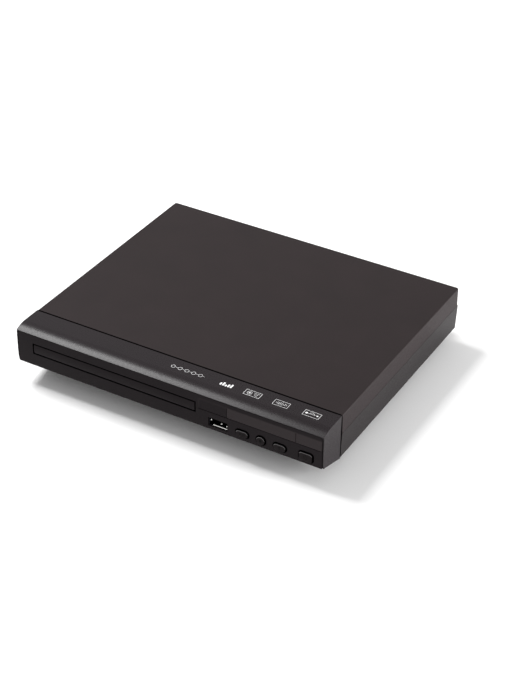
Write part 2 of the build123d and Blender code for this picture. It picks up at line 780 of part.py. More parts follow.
def make_clamp_puck():
    """Free turning puck that presses the disc on the turntable."""
    neck = bridge_hole_radius - 1.5
    rim = bridge_high + slide_fit + 0.2
    pocket = hub_radius + 1.1
    brim = puck_low + puck_thickness
    levels = [(puck_low, brim, puck_radius), (brim, rim, neck), (rim, rim + 1.4, neck + 3.6)]
    puck = stack(levels, disc_x, disc_y, 40)
    return puck - stud(disc_x, disc_y, puck_low - 1, puck_low + 2.4, pocket, 24, flats=True)


# ---- tray ----


def rack_points(pitch_x, y0, teeth):
    """Outline of a straight rack whose teeth point to +X."""
    pitch = math.pi * rack_module
    slope = math.tan(math.radians(20))
    low, high = pitch_x - 1.15 * rack_module, pitch_x + 0.85 * rack_module
    half_root = pitch / 4 - backlash / 4 + 1.15 * rack_module * slope
    half_tip = pitch / 4 - backlash / 4 - 0.85 * rack_module * slope
    points = [(pitch_x - rack_body, y0), (low, y0)]
    for tooth in range(teeth):
        middle = y0 + pitch * (tooth + 0.5)
        points += [(low, middle - half_root), (high, middle - half_tip)]
        points += [(high, middle + half_tip), (low, middle + half_root)]
    points += [(low, y0 + pitch * teeth), (pitch_x - rack_body, y0 + pitch * teeth)]
    return points


def make_disc_tray():
    """Tray with its disc recesses, open slot, guide rails and rack."""
    x0, x1 = disc_x - tray_half, disc_x + tray_half
    y0, y1 = depth_y(tray_front), depth_y(tray_rear)
    tray = slab(x0, x1, y0, y1, tray_floor_low, tray_rim_high, 1.5)
    below, above = tray_floor_low - 1, tray_rim_high + 1
    tray -= post(disc_x, disc_y, tray_floor_high, above, recess_radius)
    tray -= post(disc_x, disc_y, tray_floor_high - small_recess_step, above, small_recess_radius)
    half_slot = tray_slot_width / 2
    tray -= post(disc_x, disc_y, below, above, half_slot)
    tray -= block(disc_x - half_slot, disc_x + half_slot, disc_y, y1 + 1, below, above)
    for side in (-1, 1):
        a, b = sorted((disc_x + side * (half_slot + 4), disc_x + side * (tray_half - 4)))
        tray -= block(a, b, disc_y + recess_radius + 4, y1 - 2.5, tray_floor_high, above)
        web_out = disc_x + side * (tray_half - rail_inset)
        web_in = web_out - side * rail_web
        foot_out = web_out + side * rail_foot
        a, b = sorted((web_in, web_out))
        tray += block(a, b, y0 + 1, y1, tray_rail_low, tray_floor_low + 0.2)
        a, b = sorted((web_in, foot_out))
        tray += block(a, b, y0 + 1, y1, tray_rail_low, tray_rail_low + rail_foot_thickness)
    teeth = int((tray_travel + 14) / (math.pi * rack_module))
    rack_y = gear_y - math.pi * rack_module * 3
    tray += prism_z(rack_points(rack_pitch_x, rack_y, teeth), tray_rail_low, tray_floor_low + 0.2)
    return tray


def make_tray_door():
    """Flush door on the front of the tray."""
    half = slot_width / 2 - door_side_gap
    door = panel_face(disc_x - half, disc_x + half, door_low, door_high, front_y, 2.4)
    ends = [edge for edge in door.edges().filter_by(Axis.Y)]
    door = fillet(ends, 0.6)
    for x in (disc_x - 45, disc_x, disc_x + 45):
        back = depth_y(tray_front)
        door += block(x - 5, x + 5, front_y + 2.2, back, tray_floor_low, tray_rim_high - 0.6)
    return door


# ---- gears ----


def involute(angle):
    """Involute function of an angle in radians."""
    return math.tan(angle) - angle


def gear_points(teeth, module, phase):
    """Outline of a spur gear, with a tooth centred on the phase angle in degrees."""
    pitch_radius = module * teeth / 2
    base = pitch_radius * math.cos(math.radians(20))
    tip = pitch_radius + 0.85 * module
    root = pitch_radius - 1.15 * module
    flank = max(base, root)
    thin = backlash / 2 / pitch_radius
    middle = math.pi / 2 / teeth + involute(math.radians(20)) - thin
    half_tip = middle - involute(math.acos(base / tip))
    half_root = middle - involute(math.acos(min(1.0, base / flank)))
    points = []
    for tooth in range(teeth):
        centre = math.radians(phase) + 2 * math.pi * tooth / teeth
        for radius, angle in ((root, -half_root), (tip, -half_tip), (tip, half_tip), (root, half_root)):
            points.append((radius * math.cos(centre + angle), radius * math.sin(centre + angle)))
    return points


def gear_disc(teeth, module, phase, z0, z1):
    """A toothed wheel about the Z axis."""
    return prism_z(gear_points(teeth, module, phase), z0, z1)


def make_drive_gear():
    """Double gear: the large wheel is driven by the idler, the small one moves the rack."""
    gear = gear_disc(drive_large_teeth, gear_module, 0, drive_large_low, drive_large_high)
    gear += gear_disc(drive_small_teeth, rack_module, 180, pinion_low, pinion_high)
    gear += stud(0, 0, deck_high + 0.6, pinion_low + 0.1, 3.6, 16)
    gear -= post(0, 0, deck_high, pinion_high + 1, post_radius + shaft_fit)
    return Pos(drive_x, gear_y, 0) * gear


def make_idler_gear():
    """Double gear between the pulley and the drive gear."""
    mesh = 180.0 + 180.0 / idler_small_teeth
    gear = gear_disc(idler_small_teeth, gear_module, mesh, drive_large_low - 0.2, drive_large_high + 0.2)
    gear += gear_disc(idler_large_teeth, gear_module, 0, idler_large_low, idler_large_high)
    gear += stud(0, 0, deck_high + 0.6, pinion_high - 0.4, 3.0, 16)
    gear -= post(0, 0, deck_high, pinion_high + 1, post_radius + shaft_fit)
    return Pos(idler_x, gear_y, 0) * gear


def pulley_disc(radius, groove, sides):
    """A grooved pulley about the Z axis."""
    half = belt_width / 2 + 0.08
    middle = (pulley_low + pulley_high) / 2
    levels = [(pulley_low, middle - half, radius), (middle - half, middle + half, radius - groove)]
    levels.append((middle + half, pulley_high, radius))
    return stack(levels, 0, 0, sides)


def make_pulley_gear():
    """Belt pulley with the first pinion on its back."""
    mesh = 180.0 + 180.0 / pulley_pinion_teeth
    gear = pulley_disc(pulley_radius, groove_depth, 40)
    gear += gear_disc(pulley_pinion_teeth, gear_module, mesh, pulley_high - 0.1, idler_large_high + 0.2)
    gear += stud(0, 0, deck_high + 0.6, pulley_low + 0.1, 2.8, 16)
    gear -= post(0, 0, deck_high, pinion_high + 1, post_radius + shaft_fit)
    return Pos(pulley_x, gear_y, 0) * gear


def make_motor_pulley():
    """Small pulley on the motor shaft."""
    pulley = pulley_disc(motor_pulley_radius, groove_depth + 0.1, 24)
    pulley += post(0, 0, deck_high - deck_thickness - 6, pulley_high + 0.8, spindle_radius)
    return Pos(motor_x, motor_y, 0) * pulley


def make_loading_motor():
    """Flat direct current motor under the deck."""
    high = deck_high - deck_thickness
    low = high - motor_can_height
    can = stud(motor_x, motor_y, low, high, motor_can_radius, 32)
    can = chamfer(can.faces().sort_by(Axis.Z)[0].edges(), 1.0)
    can += stud(motor_x, motor_y, high - 0.5, high + 1.0, 3.0, 12)
    for side in (-1, 1):
        x = motor_x + side * 6
        reach = motor_can_radius
        can += block(x - 1, x + 1, motor_y + reach - 3, motor_y + reach + 0.1, low + 2, low + 4)
    can -= post(motor_x, motor_y, high - 8, high + 2, spindle_radius + shaft_fit)
    return can


def belt_loop(extra):
    """Plan of the belt, grown by extra beyond its inner line."""
    big = pulley_radius - groove_depth + 0.06 + extra
    small = motor_pulley_radius - groove_depth - 0.1 + 0.06 + extra
    dx, dy = motor_x - pulley_x, motor_y - gear_y
    span = math.hypot(dx, dy)
    lean = math.asin((big - small) / span)
    along = math.atan2(dy, dx)
    points = []
    for radius, x, y in ((big, pulley_x, gear_y), (small, motor_x, motor_y)):
        for sign in (1, -1):
            angle = along + sign * (math.pi / 2 - lean)
            points.append((x + radius * math.cos(angle), y + radius * math.sin(angle)))
    back = (pulley_x - big * math.cos(along), gear_y - big * math.sin(along))
    tip = (motor_x + small * math.cos(along), motor_y + small * math.sin(along))
    z = (pulley_low + pulley_high) / 2 - belt_width / 2
    top, low, far_top, far_low = [(x, y, z) for x, y in points]
    edges = [ThreePointArc(top, (*back, z), low), Line(low, far_low)]
    edges += [ThreePointArc(far_low, (*tip, z), far_top), Line(far_top, top)]
    return extrude(make_face(edges), amount=belt_width, dir=(0, 0, 1))


def make_drive_belt():
    """Square rubber belt in the two grooves."""
    return belt_loop(belt_thickness) - belt_loop(0)


def make_tray_switch():
    """Leaf switch at the front of the deck that feels the tray."""
    x, y = disc_x + 34, depth_y(12)
    switch = block(x, x + 8, y, y + 4, deck_high, deck_high + 4.6)
    return switch + block(x + 3.2, x + 4.4, y + 0.8, y + 1.6, deck_high + 4.5, deck_high + 6.2)


# ---- traverse ----


def make_cam_slider():
    """Slider with two slanted slots that lowers and raises the traverse."""
    left = disc_x - cam_pin_half_spacing - cam_travel - 5
    right = disc_x + cam_pin_half_spacing + 5
    y0 = depth_y(cam_wall_front)
    y1 = y0 + cam_wall_thickness
    slider = block(left, right, y0, y1, cam_wall_low, deck_high + 1.4)
    slider += block(left, right, depth_y(38.4), y1, deck_high + slide_fit, deck_high + 2.0)
    rack = prism_z(rack_points(0, 0, 8), deck_high + slide_fit, deck_high + 2.0)
    slider += Pos(left + 1, depth_y(37.9), 0) * Rot(0, 0, -90) * rack
    drop = (pivot_y - y0) * math.sin(math.radians(tilt_angle))
    gap = 2 * (cam_pin_radius + slide_fit)
    for side in (-1, 1):
        x = disc_x + side * cam_pin_half_spacing
        length = math.hypot(cam_travel, drop)
        angle = math.degrees(math.atan2(drop, cam_travel))
        outline = Plane.XZ * Pos(x - cam_travel / 2, pivot_height - drop / 2) * Rot(0, 0, angle)
        slot = outline * SlotOverall(length + gap, gap)
        slider -= Pos(0, y0 - 1, 0) * extrude(slot, amount=cam_wall_thickness + 2, dir=(0, 1, 0))
    return slider


def damper_places():
    """Centres of the four rubber mounts."""
    depths = (damper_front, damper_rear)
    return [(disc_x + side * damper_half_spacing, depth_y(depth)) for side in (-1, 1) for depth in depths]


def make_traverse_holder():
    """Plastic frame that pivots at the rear and rides in the slider at the front."""
    x0, x1 = disc_x - holder_half_width, disc_x + holder_half_width
    y0, y1 = depth_y(holder_front), depth_y(holder_rear)
    holder = clipped(x0, x1, y0, y1, holder_low, holder_high, 2)
    holder -= block(x0 + holder_wall, x1 - holder_wall, y0 + holder_wall, y1 - holder_wall - 1, 0, 30)
    boss_high = plate_low - 2.0
    for x, y in damper_places():
        holder += stud(x, y, holder_low, boss_high, 4.2)
    holder &= block(x0, x1, y0, y1, 0, 40)
    for x, y in damper_places():
        holder -= stud(x, y, boss_high - 7, boss_high + 1, screw_shank + shaft_fit, flats=True)
    for side in (-1, 1):
        near = holder_half_width - 1
        a, b = sorted((disc_x + side * near, disc_x + side * (near + 5.6)))
        holder += pin_x(a, b, pivot_y, pivot_height, pivot_radius)
        x = disc_x + side * cam_pin_half_spacing
        holder += pin_y(x, depth_y(cam_wall_front) - 0.2, y0 + 1, pivot_height, cam_pin_radius)
        holder += block(x - 2.6, x + 2.6, y0, y0 + holder_wall, pivot_height - 2.6, pivot_height + 2.4)
    return holder


def make_traverse_plate():
    """Pressed steel plate that carries the spindle, the rods and the sled drive."""
    x0, x1 = disc_x - plate_half_width, disc_x + plate_half_width
    plate = clipped(x0, x1, depth_y(plate_front), depth_y(plate_rear), plate_low, plate_high, 3)
    window_y = disc_y + lens_radius_in
    plate -= clipped(disc_x - 13, disc_x + 13, window_y - 11, window_y + sled_travel + 16, plate_low - 1,
                     plate_high + 1, 2)
    plate -= stud(disc_x, disc_y, plate_low - 1, plate_high + 1, 4.4, 12, flats=True)
    for side in (-1, 1):
        x = disc_x + side * 24
        plate -= clipped(x - 3.5, x + 3.5, disc_y - 9, disc_y + 5, plate_low - 1, plate_high + 1, 1.5)
        for y in (depth_y(rod_front), depth_y(rod_rear) - 1.6):
            x = disc_x + side * rod_half_spacing
            plate += block(x - 2.2, x + 2.2, y, y + 1.6, rod_height - 2.4, plate_low + 0.2)
            plate -= block(x - rod_radius, x + rod_radius, y - 1, y + 3, 0, rod_height + rod_radius)
    x = disc_x + screw_offset
    for y in (depth_y(screw_front), depth_y(screw_rear)):
        plate += block(x - 2.2, x + 3.4, y, y + 1.2, screw_height - 3.2, plate_low + 0.2)
        plate -= pin_y(x, y - 1, y + 2, screw_height, screw_radius + shaft_fit)
    for x, y in damper_places():
        plate -= stud(x, y, plate_low - 1, plate_high + 1, 3.2, flats=True)
    return plate


def make_damper_grommets():
    """Four rubber mounts gripping the plate."""
    grommet = stud(0, 0, plate_low - 2.0, plate_low - 0.02, 4.4)
    grommet += stud(0, 0, plate_low - 0.02, plate_high + 0.02, 3.18)
    grommet += stud(0, 0, plate_high + 0.02, plate_high + 1.6, 4.4)
    grommet -= stud(0, 0, plate_low - 3, plate_high + 3, screw_shank + 0.1, flats=True)
    return [Pos(x, y, 0) * grommet for x, y in damper_places()]


def make_holder_screws():
    """Screws through the rubber mounts into the holder."""
    high = plate_high + 1.6
    return [make_screw(x, y, high + 1.6, high - 9, 1.6) for x, y in damper_places()]


def make_spindle_motor():
    """Disc motor under the plate."""
    levels = [(spindle_can_low, plate_low, spindle_can_radius), (plate_low, plate_high + 0.3, 4.2)]
    can = stack(levels, disc_x, disc_y, 32)
    return can - post(disc_x, disc_y, spindle_can_low + 2.0, plate_high + 1, spindle_radius + shaft_fit)


def make_turntable():
    """Turntable with its centring hub and shaft."""
    low = seat_height - 2.8
    top = seat_height + hub_rise
    table = stack([(plate_high + 0.8, low, 4), (low, seat_height, turntable_radius)], disc_x, disc_y, 40)
    table += post(disc_x, disc_y, spindle_can_low + 2.4, plate_high + 1, spindle_radius)
    hub = post(disc_x, disc_y, seat_height - 0.5, top, hub_radius)
    return table + chamfer(hub.edges().sort_by(Axis.Z)[-1], hub_rise - 0.8)


def make_guide_rods():
    """Two steel rods on which the pickup slides."""
    y0, y1 = depth_y(rod_front), depth_y(rod_rear)
    return [pin_y(disc_x + side * rod_half_spacing, y0, y1, rod_height, rod_radius) for side in (-1, 1)]


def make_sled_motor():
    """Small motor that turns the lead screw."""
    x = disc_x + screw_offset
    y1 = depth_y(screw_front)
    can = stud_y(x, y1 - 10.0, y1 - 0.05, screw_height, sled_motor_radius, 20)
    can += stud_y(x, y1 - 11.2, y1 - 9, screw_height, 1.8)
    can &= block(x - 8, x + 8, y1 - 12, y1, 0, plate_low - 0.1)
    return can - pin_y(x, y1 - 3, y1 + 1, screw_height, 0.95)


def make_lead_screw():
    """Lead screw of the sled."""
    x = disc_x + screw_offset
    screw = pin_y(x, depth_y(screw_front + 0.1), depth_y(screw_rear + 1.0), screw_height, screw_radius)
    return screw + pin_y(x, depth_y(screw_front - 2.4), depth_y(screw_front + 0.4), screw_height, 0.9)


def make_pickup_sled():
    """Die-cast sled with its rod bearings, nut and lens tower."""
    lens_y = disc_y + lens_radius_in
    y0, y1 = lens_y - 9.0, lens_y + 14.0
    low, high = holder_low + 0.6, plate_low - 0.6
    plan = [(-20, y0 + 4), (-16, y0), (16, y0), (20, y0 + 4)]
    plan += [(20, y1 - 5), (15, y1), (-12, y1), (-20, y1 - 6)]
    sled = prism_z([(disc_x + x, y) for x, y in plan], low, high)
    rod_x = disc_x - rod_half_spacing
    sled += block(rod_x - 3.4, rod_x + 6, y0 + 1, y1 - 1, rod_height - 2.8, high)
    sled -= pin_y(rod_x, y0 - 1, y1 + 1, rod_height, rod_radius + shaft_fit)
    rod_x = disc_x + rod_half_spacing
    sled += block(rod_x - 6, rod_x + 1.9, y0 + 6, y1 - 6, rod_height - 2.8, high)
    sled -= block(rod_x - 1.6, rod_x + 3, y0 + 5, y1 - 5, rod_height - 1.55, rod_height + 1.55)
    nut_x = disc_x + screw_offset - screw_radius - 0.1
    sled += block(rod_x - 4, nut_x, y0 + 9, y1 - 9, screw_height - 1.2, screw_height + 0.2)
    sled += block(disc_x - 8.5, disc_x + 8.5, lens_y - 7, lens_y + 9, high - 0.2, tray_floor_low - 0.6)
    sled -= block(disc_x - 6.8, disc_x + 6.8, lens_y + 4.4, lens_y + 7.6, high + 1.5, tray_floor_low)
    sled -= block(disc_x - 6.8, disc_x + 6.8, lens_y - 5.8, lens_y - 4.2, high + 1.5, tray_floor_low)
    sled += stud_y(disc_x + 8, y1 - 1, y1 + 4, (low + high) / 2, 2.8)
    return sled


def make_objective_lens():
    """Lens in its holder on top of the sled."""
    low = tray_floor_low - 0.6
    points = [(0, low), (3.6, low), (3.6, low + 0.7), (2.7, low + 0.7), (1.9, low + 1.3), (0, low + 1.3)]
    return turned(points, disc_x, disc_y + lens_radius_in)


# ---- front electronics ----


def front_board_bosses():
    """Screw bosses of the fascia that carry the front board."""
    low = strip_low - 3.2
    left, right = (usb_x + play_x) / 2 + 0.425, (open_x + power_x) / 2 - 0.3
    return [(left, low), (right, low), (strip_right - 3.8, strip_high - 2)]


def make_front_board():
    """Board behind the fascia."""
    y0 = depth_y(front_board_depth)
    y1 = y0 + board_thickness
    board = block(front_board_left, front_board_right, y0, y1, front_board_low, front_board_high)
    for x, z in front_board_bosses():
        board -= stud_y(x, y0 - 1, y0 + 3, z, screw_shank + screw_fit, flats=True)
    return board


def make_display_module():
    """Light box of the digits behind the smoked window."""
    y1 = depth_y(front_board_depth)
    y0 = front_y + panel_thickness + backing_thickness + 0.2
    left, right = window_left + 6.85, window_right - 6.85
    module = block(left, right, y0, y1, strip_low + 0.8, strip_high - 0.1)
    pitch = (right - left - 3.6) / 4
    for digit in range(4):
        x = left + 2.5 + digit * pitch
        module -= block(x, x + pitch - 3.2, y0 - 1, y0 + 0.3, strip_low + 2.2, strip_high - 1.5)
    return module


def make_ir_receiver():
    """Infrared receiver with its domed lens."""
    x, y1 = strip_right - 9.8, depth_y(front_board_depth)
    body = block(x - 3, x + 3, y1 - 6, y1, strip_low + 0.8, strip_high - 0.5)
    return body + pin_y(x, y1 - 7.4, y1 - 5, strip_high - 3.7, 2.4)


def make_tact_switches():
    """One switch behind each button."""
    switches = []
    y1 = depth_y(front_board_depth)
    for x, width, height, radius in button_shapes():
        body = block(x - 3, x + 3, y1 - 3.5, y1, button_z - 3, button_z + 3)
        switches.append(body + stud_y(x, y1 - 9.5, y1 - 3, button_z, 1.7))
    return switches


def make_usb_socket():
    """Folded steel shell of the socket."""
    y0, y1 = front_y + 0.9, depth_y(front_board_depth)
    shell = front_pocket(usb_x, usb_z, usb_width, usb_height, 0.5, y0, y1)
    return shell - front_pocket(usb_x, usb_z, usb_width - 0.6, usb_height - 0.6, 0.3, y0 - 1, y1 - 1.5)


def make_usb_tongue():
    """Contact tongue inside the socket."""
    y1 = depth_y(front_board_depth) - 1.5
    return block(usb_x - 5.6, usb_x + 5.6, front_y + 3.2, y1, usb_z + 0.4, usb_z + 2.2)


# ---- rear electronics ----


def board_pillars():
    """Pillars under the main board."""
    depths = (main_front + 4, case_depth - 40)
    return [(x, depth_y(depth)) for x in (main_left + 4, main_right - 4) for depth in depths]


def power_pillars():
    """Pillars under the power board."""
    y = depth_y(power_front + 4)
    return [(power_left + 4, y), (power_right - 4, y)]


def make_main_board():
    """Main circuit board."""
    board = block(main_left, main_right, depth_y(main_front), rear_board_y, board_low, board_high)
    for x, y in board_pillars():
        board -= stud(x, y, board_low - 1, board_high + 1, screw_shank + screw_fit, flats=True)
    return board


def make_main_chips():
    """Decoder, memory, flash and driver chips."""
    left, right = main_left, main_right
    places = [(left + 28, 108, 20, 20, 1.8), (right - 13.5, 104, 11, 18, 1.2)]
    places += [(right - 13.5, 128, 5, 6, 1.6), (left + 18, 84, 9, 15, 2.2), (right - 25.5, 84, 8, 6, 1.6)]
    chips = []
    for x, depth, width, length, height in places:
        y = depth_y(depth)
        chips.append(block(x - width / 2, x + width / 2, y - length / 2, y + length / 2, board_high,
                           board_high + height))
    return chips


def make_soc_heatsink():
    """Finned heat sink on the decoder."""
    x, y, low = main_left + 28, depth_y(108), board_high + 1.8
    sink = block(x - 10, x + 10, y - 10, y + 10, low, low + 2)
    for fin in range(7):
        left = x - 10 + fin * (20 - 1.2) / 6
        sink += block(left, left + 1.2, y - 10, y + 10, low + 1.9, low + 9)
    return sink


def make_board_connectors():
    """White headers for the ribbons and cables."""
    headers = []
    left, rear = main_left, case_depth - 18.5
    places = [(left + 22, main_front + 4, 16, 4.5, 5.5), (left + 4, 110, 4.5, 22, 5.5)]
    places += [(left + 4, rear, 5, 10, 7.0), (power_right - 3, rear, 5, 10, 7.0)]
    for x, depth, width, length, height in places:
        y = depth_y(depth)
        headers.append(block(x - width / 2, x + width / 2, y - length / 2, y + length / 2, board_high,
                             board_high + height))
    return headers


def make_capacitors():
    """Round capacitors of both boards."""
    left, right = main_left, main_right
    places = [(left + 38, 140, 2.5, 7), (left + 46, 144, 2.5, 7), (left + 22, 146, 3.1, 9)]
    places += [(right - 3.5, 96, 3.1, 9), (right - 3.5, 116, 3.1, 9)]
    left, right, front = power_left, power_right, power_front
    places += [(right - 10, front + 11, 4.0, 13), (right - 10, front + 21.5, 4.0, 13)]
    places.append((left + 31.3, front + 18, 6.0, 20))
    return [stud(x, depth_y(depth), board_high, board_high + height, radius, 16)
            for x, depth, radius, height in places]


def make_hdmi_socket():
    """Digital video socket at the rear edge of the main board."""
    y1 = back_y - 0.2
    low = board_high
    shell = block(hdmi_x - 7.5, hdmi_x + 7.5, y1 - 12, y1, low, low + 6)
    mouth = [(-7.0, low + 5.6), (7.0, low + 5.6), (7.0, low + 2.4)]
    mouth += [(5.2, low + 0.5), (-5.2, low + 0.5), (-7.0, low + 2.4)]
    shell -= prism_y([(hdmi_x + x, z) for x, z in mouth], y1 - 8, y1 + 1)
    return shell + block(hdmi_x - 5.6, hdmi_x + 5.6, y1 - 8.2, y1 - 1, low + 2.6, low + 3.9)


def jack_places():
    """X of each round jack."""
    return [first_jack_x + jack_pitch * number for number in range(3)]


def make_rca_jack(x):
    """Coloured body of one round jack."""
    y1 = back_y - wall - 0.2
    half = collar_radius + 0.2
    body = block(x - half, x + half, y1 - 9, y1, board_high, jack_axis_z + 6)
    body += stud_y(x, y1 - 0.5, back_y + 1.2, jack_axis_z, collar_radius, 24)
    body += stud_y(x, back_y, back_y + jack_reach - 0.4, jack_axis_z, sleeve_radius - 0.85, 16)
    return body - pin_y(x, y1 - 6, back_y + jack_reach + 1, jack_axis_z, jack_bore_radius)


def make_rca_sleeves():
    """Plated outer contacts of the round jacks."""
    tip = back_y + jack_reach
    tube = stud_y(0, back_y + 1.2, tip, jack_axis_z, sleeve_radius, 28)
    tube -= stud_y(0, back_y, tip + 1, jack_axis_z, sleeve_radius - 0.85, 16)
    return [Pos(x, 0, 0) * tube for x in jack_places()]


def rear_cuts():
    """Openings of the rear wall."""
    y0, y1 = back_y - wall - 0.5, back_y + 1
    cuts = [stud_y(x, y0, y1, jack_axis_z, collar_radius + 0.2, 24, flats=True) for x in jack_places()]
    cuts.append(block(hdmi_x - 7.9, hdmi_x + 7.9, y0, y1, board_high - 0.3, board_high + 6.3))
    cuts.append(front_pocket(inlet_x, inlet_axis_z, 22.4, 12.2, 5.9, y0, y1))
    return cuts


def make_power_board():
    """Power supply board."""
    board = block(power_left, power_right, depth_y(power_front), rear_board_y, board_low, board_high)
    for x, y in power_pillars():
        board -= stud(x, y, board_low - 1, board_high + 1, screw_shank + screw_fit, flats=True)
    return board


def make_transformer():
    """Switching transformer: ferrite core around a taped winding."""
    x, y = power_left + 47.3, depth_y(power_front + 15)
    core = block(x - 8, x + 8, y - 9, y + 9, board_high + 2, board_high + 15)
    core -= block(x - 9, x + 9, y - 5.6, y + 5.6, board_high + 4, board_high + 13)
    winding = clipped(x - 9.5, x + 9.5, y - 5.6, y + 5.6, board_high, board_high + 16, 2)
    return core + winding


def make_power_parts():
    """Fuse, choke, rectifier and film capacitor."""
    parts = []
    places = [(14.5, 6.5, 12, 5, 10), (26, 6, 8, 6, 8), (34.5, 4, 6, 4.6, 9)]
    for along, behind, width, length, height in places:
        x, y = power_left + along, depth_y(power_front + behind)
        parts.append(block(x - width / 2, x + width / 2, y - length / 2, y + length / 2, board_high,
                           board_high + height))
    return parts


def make_mains_inlet():
    """Figure-eight mains inlet with its two pins."""
    axis_z = inlet_axis_z
    y0, y1 = back_y - 18.0, back_y - 0.3
    body = front_pocket(inlet_x, axis_z, 21.8, 11.6, 5.6, y0, y1)
    mouth = pin_y(inlet_x - 4.3, y1 - 13, y1 + 1, axis_z, 4.3)
    mouth += pin_y(inlet_x + 4.3, y1 - 13, y1 + 1, axis_z, 4.3)
    mouth += block(inlet_x - 3, inlet_x + 3, y1 - 13, y1 + 1, axis_z - 2.7, axis_z + 2.7)
    body -= mouth
    for side in (-1, 1):
        body += stud_y(inlet_x + side * 4.3, y1 - 13.2, y1 - 2, axis_z, 1.2, 12)
    return body


# ---- ribbons ----


def ribbon(points, along_x, start, width, thickness):
    """A flat cable folded at the corners of its route."""
    cut = thickness + 0.9
    route = [Vector(*points[0])]
    for before, corner, after in zip(points, points[1:], points[2:]):
        corner = Vector(*corner)
        route.append(corner + (Vector(*before) - corner).normalized() * cut)
        route.append(corner + (Vector(*after) - corner).normalized() * cut)
    route.append(Vector(*points[-1]))
    near, far = [], []
    for number, point in enumerate(route):
        first = number - number % 2
        run = (route[first + 1] - route[first]).normalized()
        near.append((point.X, point.Y))
        far.append((point.X - run.Y * thickness, point.Y + run.X * thickness))
    outline = near + far[::-1]
    if along_x:
        return prism_x(outline, start, start + width)
    return prism_y(outline, start, start + width)


def make_front_ribbon():
    """Flat cable from the main board to the front board."""
    back = depth_y(front_board_depth) + board_thickness
    high = board_high + 5.5
    rise, end = depth_y(main_front - 4), depth_y(main_front + 4)
    points = [(back + 0.1, 22), (back + 4, 22), (back + 4, floor_z + 2), (rise, floor_z + 2)]
    points += [(rise, high + 3), (end, high + 3), (end, high)]
    return ribbon(points, True, main_left + 15.5, 13.0, 0.3)


def make_mechanism_ribbon():
    """Flat cable from the main board to the mechanism."""
    high = board_high + 5.5
    edge_x = disc_x + frame_half_out
    start = main_left + 4
    points = [(start, high), (start, high + 3), (edge_x + 3.4, high + 3), (edge_x + 3.4, floor_z + 1.2)]
    points += [(edge_x - 14, floor_z + 1.2)]
    return ribbon(points, False, depth_y(101), 18.0, 0.3)


def make_power_cable():
    """Flat cable from the power board to the main board."""
    high = board_high + 7
    start, end = main_left + 3.4, power_right - 3.6
    points = [(start, high), (start, high + 4), (end, high + 4), (end, high)]
    return ribbon(points, False, depth_y(case_depth - 22), 7.0, 1.2)


# ---- write every piece ----

shapes = {
    "top_cover": make_top_cover(),
    "bottom_case": make_bottom_case(),
    "fascia_shell": make_fascia_shell(),
    "front_panel": make_front_panel(),
    "display_window": make_strip_insert(window_left + line_gap / 2, window_right - line_gap / 2),
    "ir_window": make_strip_insert(window_right + line_gap / 2, strip_right - line_gap),
    "rubber_feet": make_rubber_feet(),
    "case_screws": make_case_screws(),
    "chassis_screws": make_chassis_screws(),
    "usb_socket": make_usb_socket(),
    "usb_tongue": make_usb_tongue(),
    "front_board": make_front_board(),
    "display_module": make_display_module(),
    "ir_receiver": make_ir_receiver(),
    "tact_switches": make_tact_switches(),
    "main_board": make_main_board(),
    "main_chips": make_main_chips(),
    "soc_heatsink": make_soc_heatsink(),
    "board_connectors": make_board_connectors(),
    "capacitors": make_capacitors(),
    "hdmi_socket": make_hdmi_socket(),
    "rca_jack_yellow": make_rca_jack(jack_places()[0]),
    "rca_jack_white": make_rca_jack(jack_places()[1]),
    "rca_jack_red": make_rca_jack(jack_places()[2]),
    "rca_sleeves": make_rca_sleeves(),
    "power_board": make_power_board(),
    "transformer": make_transformer(),
    "power_parts": make_power_parts(),
    "mains_inlet": make_mains_inlet(),
    "loader_frame": make_loader_frame(),
    "clamp_bridge": make_clamp_bridge(),
    "loading_motor": make_loading_motor(),
    "drive_belt": make_drive_belt(),
    "tray_switch": make_tray_switch(),
    "front_ribbon": make_front_ribbon(),
    "mechanism_ribbon": make_mechanism_ribbon(),
    "power_cable": make_power_cable(),
    "disc_tray": make_disc_tray(),
    "tray_door": make_tray_door(),
    "motor_pulley": make_motor_pulley(),
    "pulley_gear": make_pulley_gear(),
    "idler_gear": make_idler_gear(),
    "drive_gear": make_drive_gear(),
    "cam_slider": make_cam_slider(),
    "traverse_holder": make_traverse_holder(),
    "traverse_plate": make_traverse_plate(),
    "damper_grommets": make_damper_grommets(),
    "holder_screws": make_holder_screws(),
    "spindle_motor": make_spindle_motor(),
    "guide_rods": make_guide_rods(),
    "sled_motor": make_sled_motor(),
    "turntable": make_turntable(),
    "pickup_sled": make_pickup_sled(),
    "objective_lens": make_objective_lens(),
    "lead_screw": make_lead_screw(),
    "clamp_puck": make_clamp_puck(),
    "button_play": make_button(button_shapes()[0]),
    "button_stop": make_button(button_shapes()[1]),
    "button_open": make_button(button_shapes()[2]),
    "button_power": make_button(button_shapes()[3]),
}

for name, shape in shapes.items():
    solid = Compound(children=shape) if isinstance(shape, list) else shape
    export_step(solid, f"parts/{name}.step")
print(len(shapes), "nodes written")
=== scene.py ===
import math
import random

import bmesh
import bpy
from mathutils import Matrix, Vector


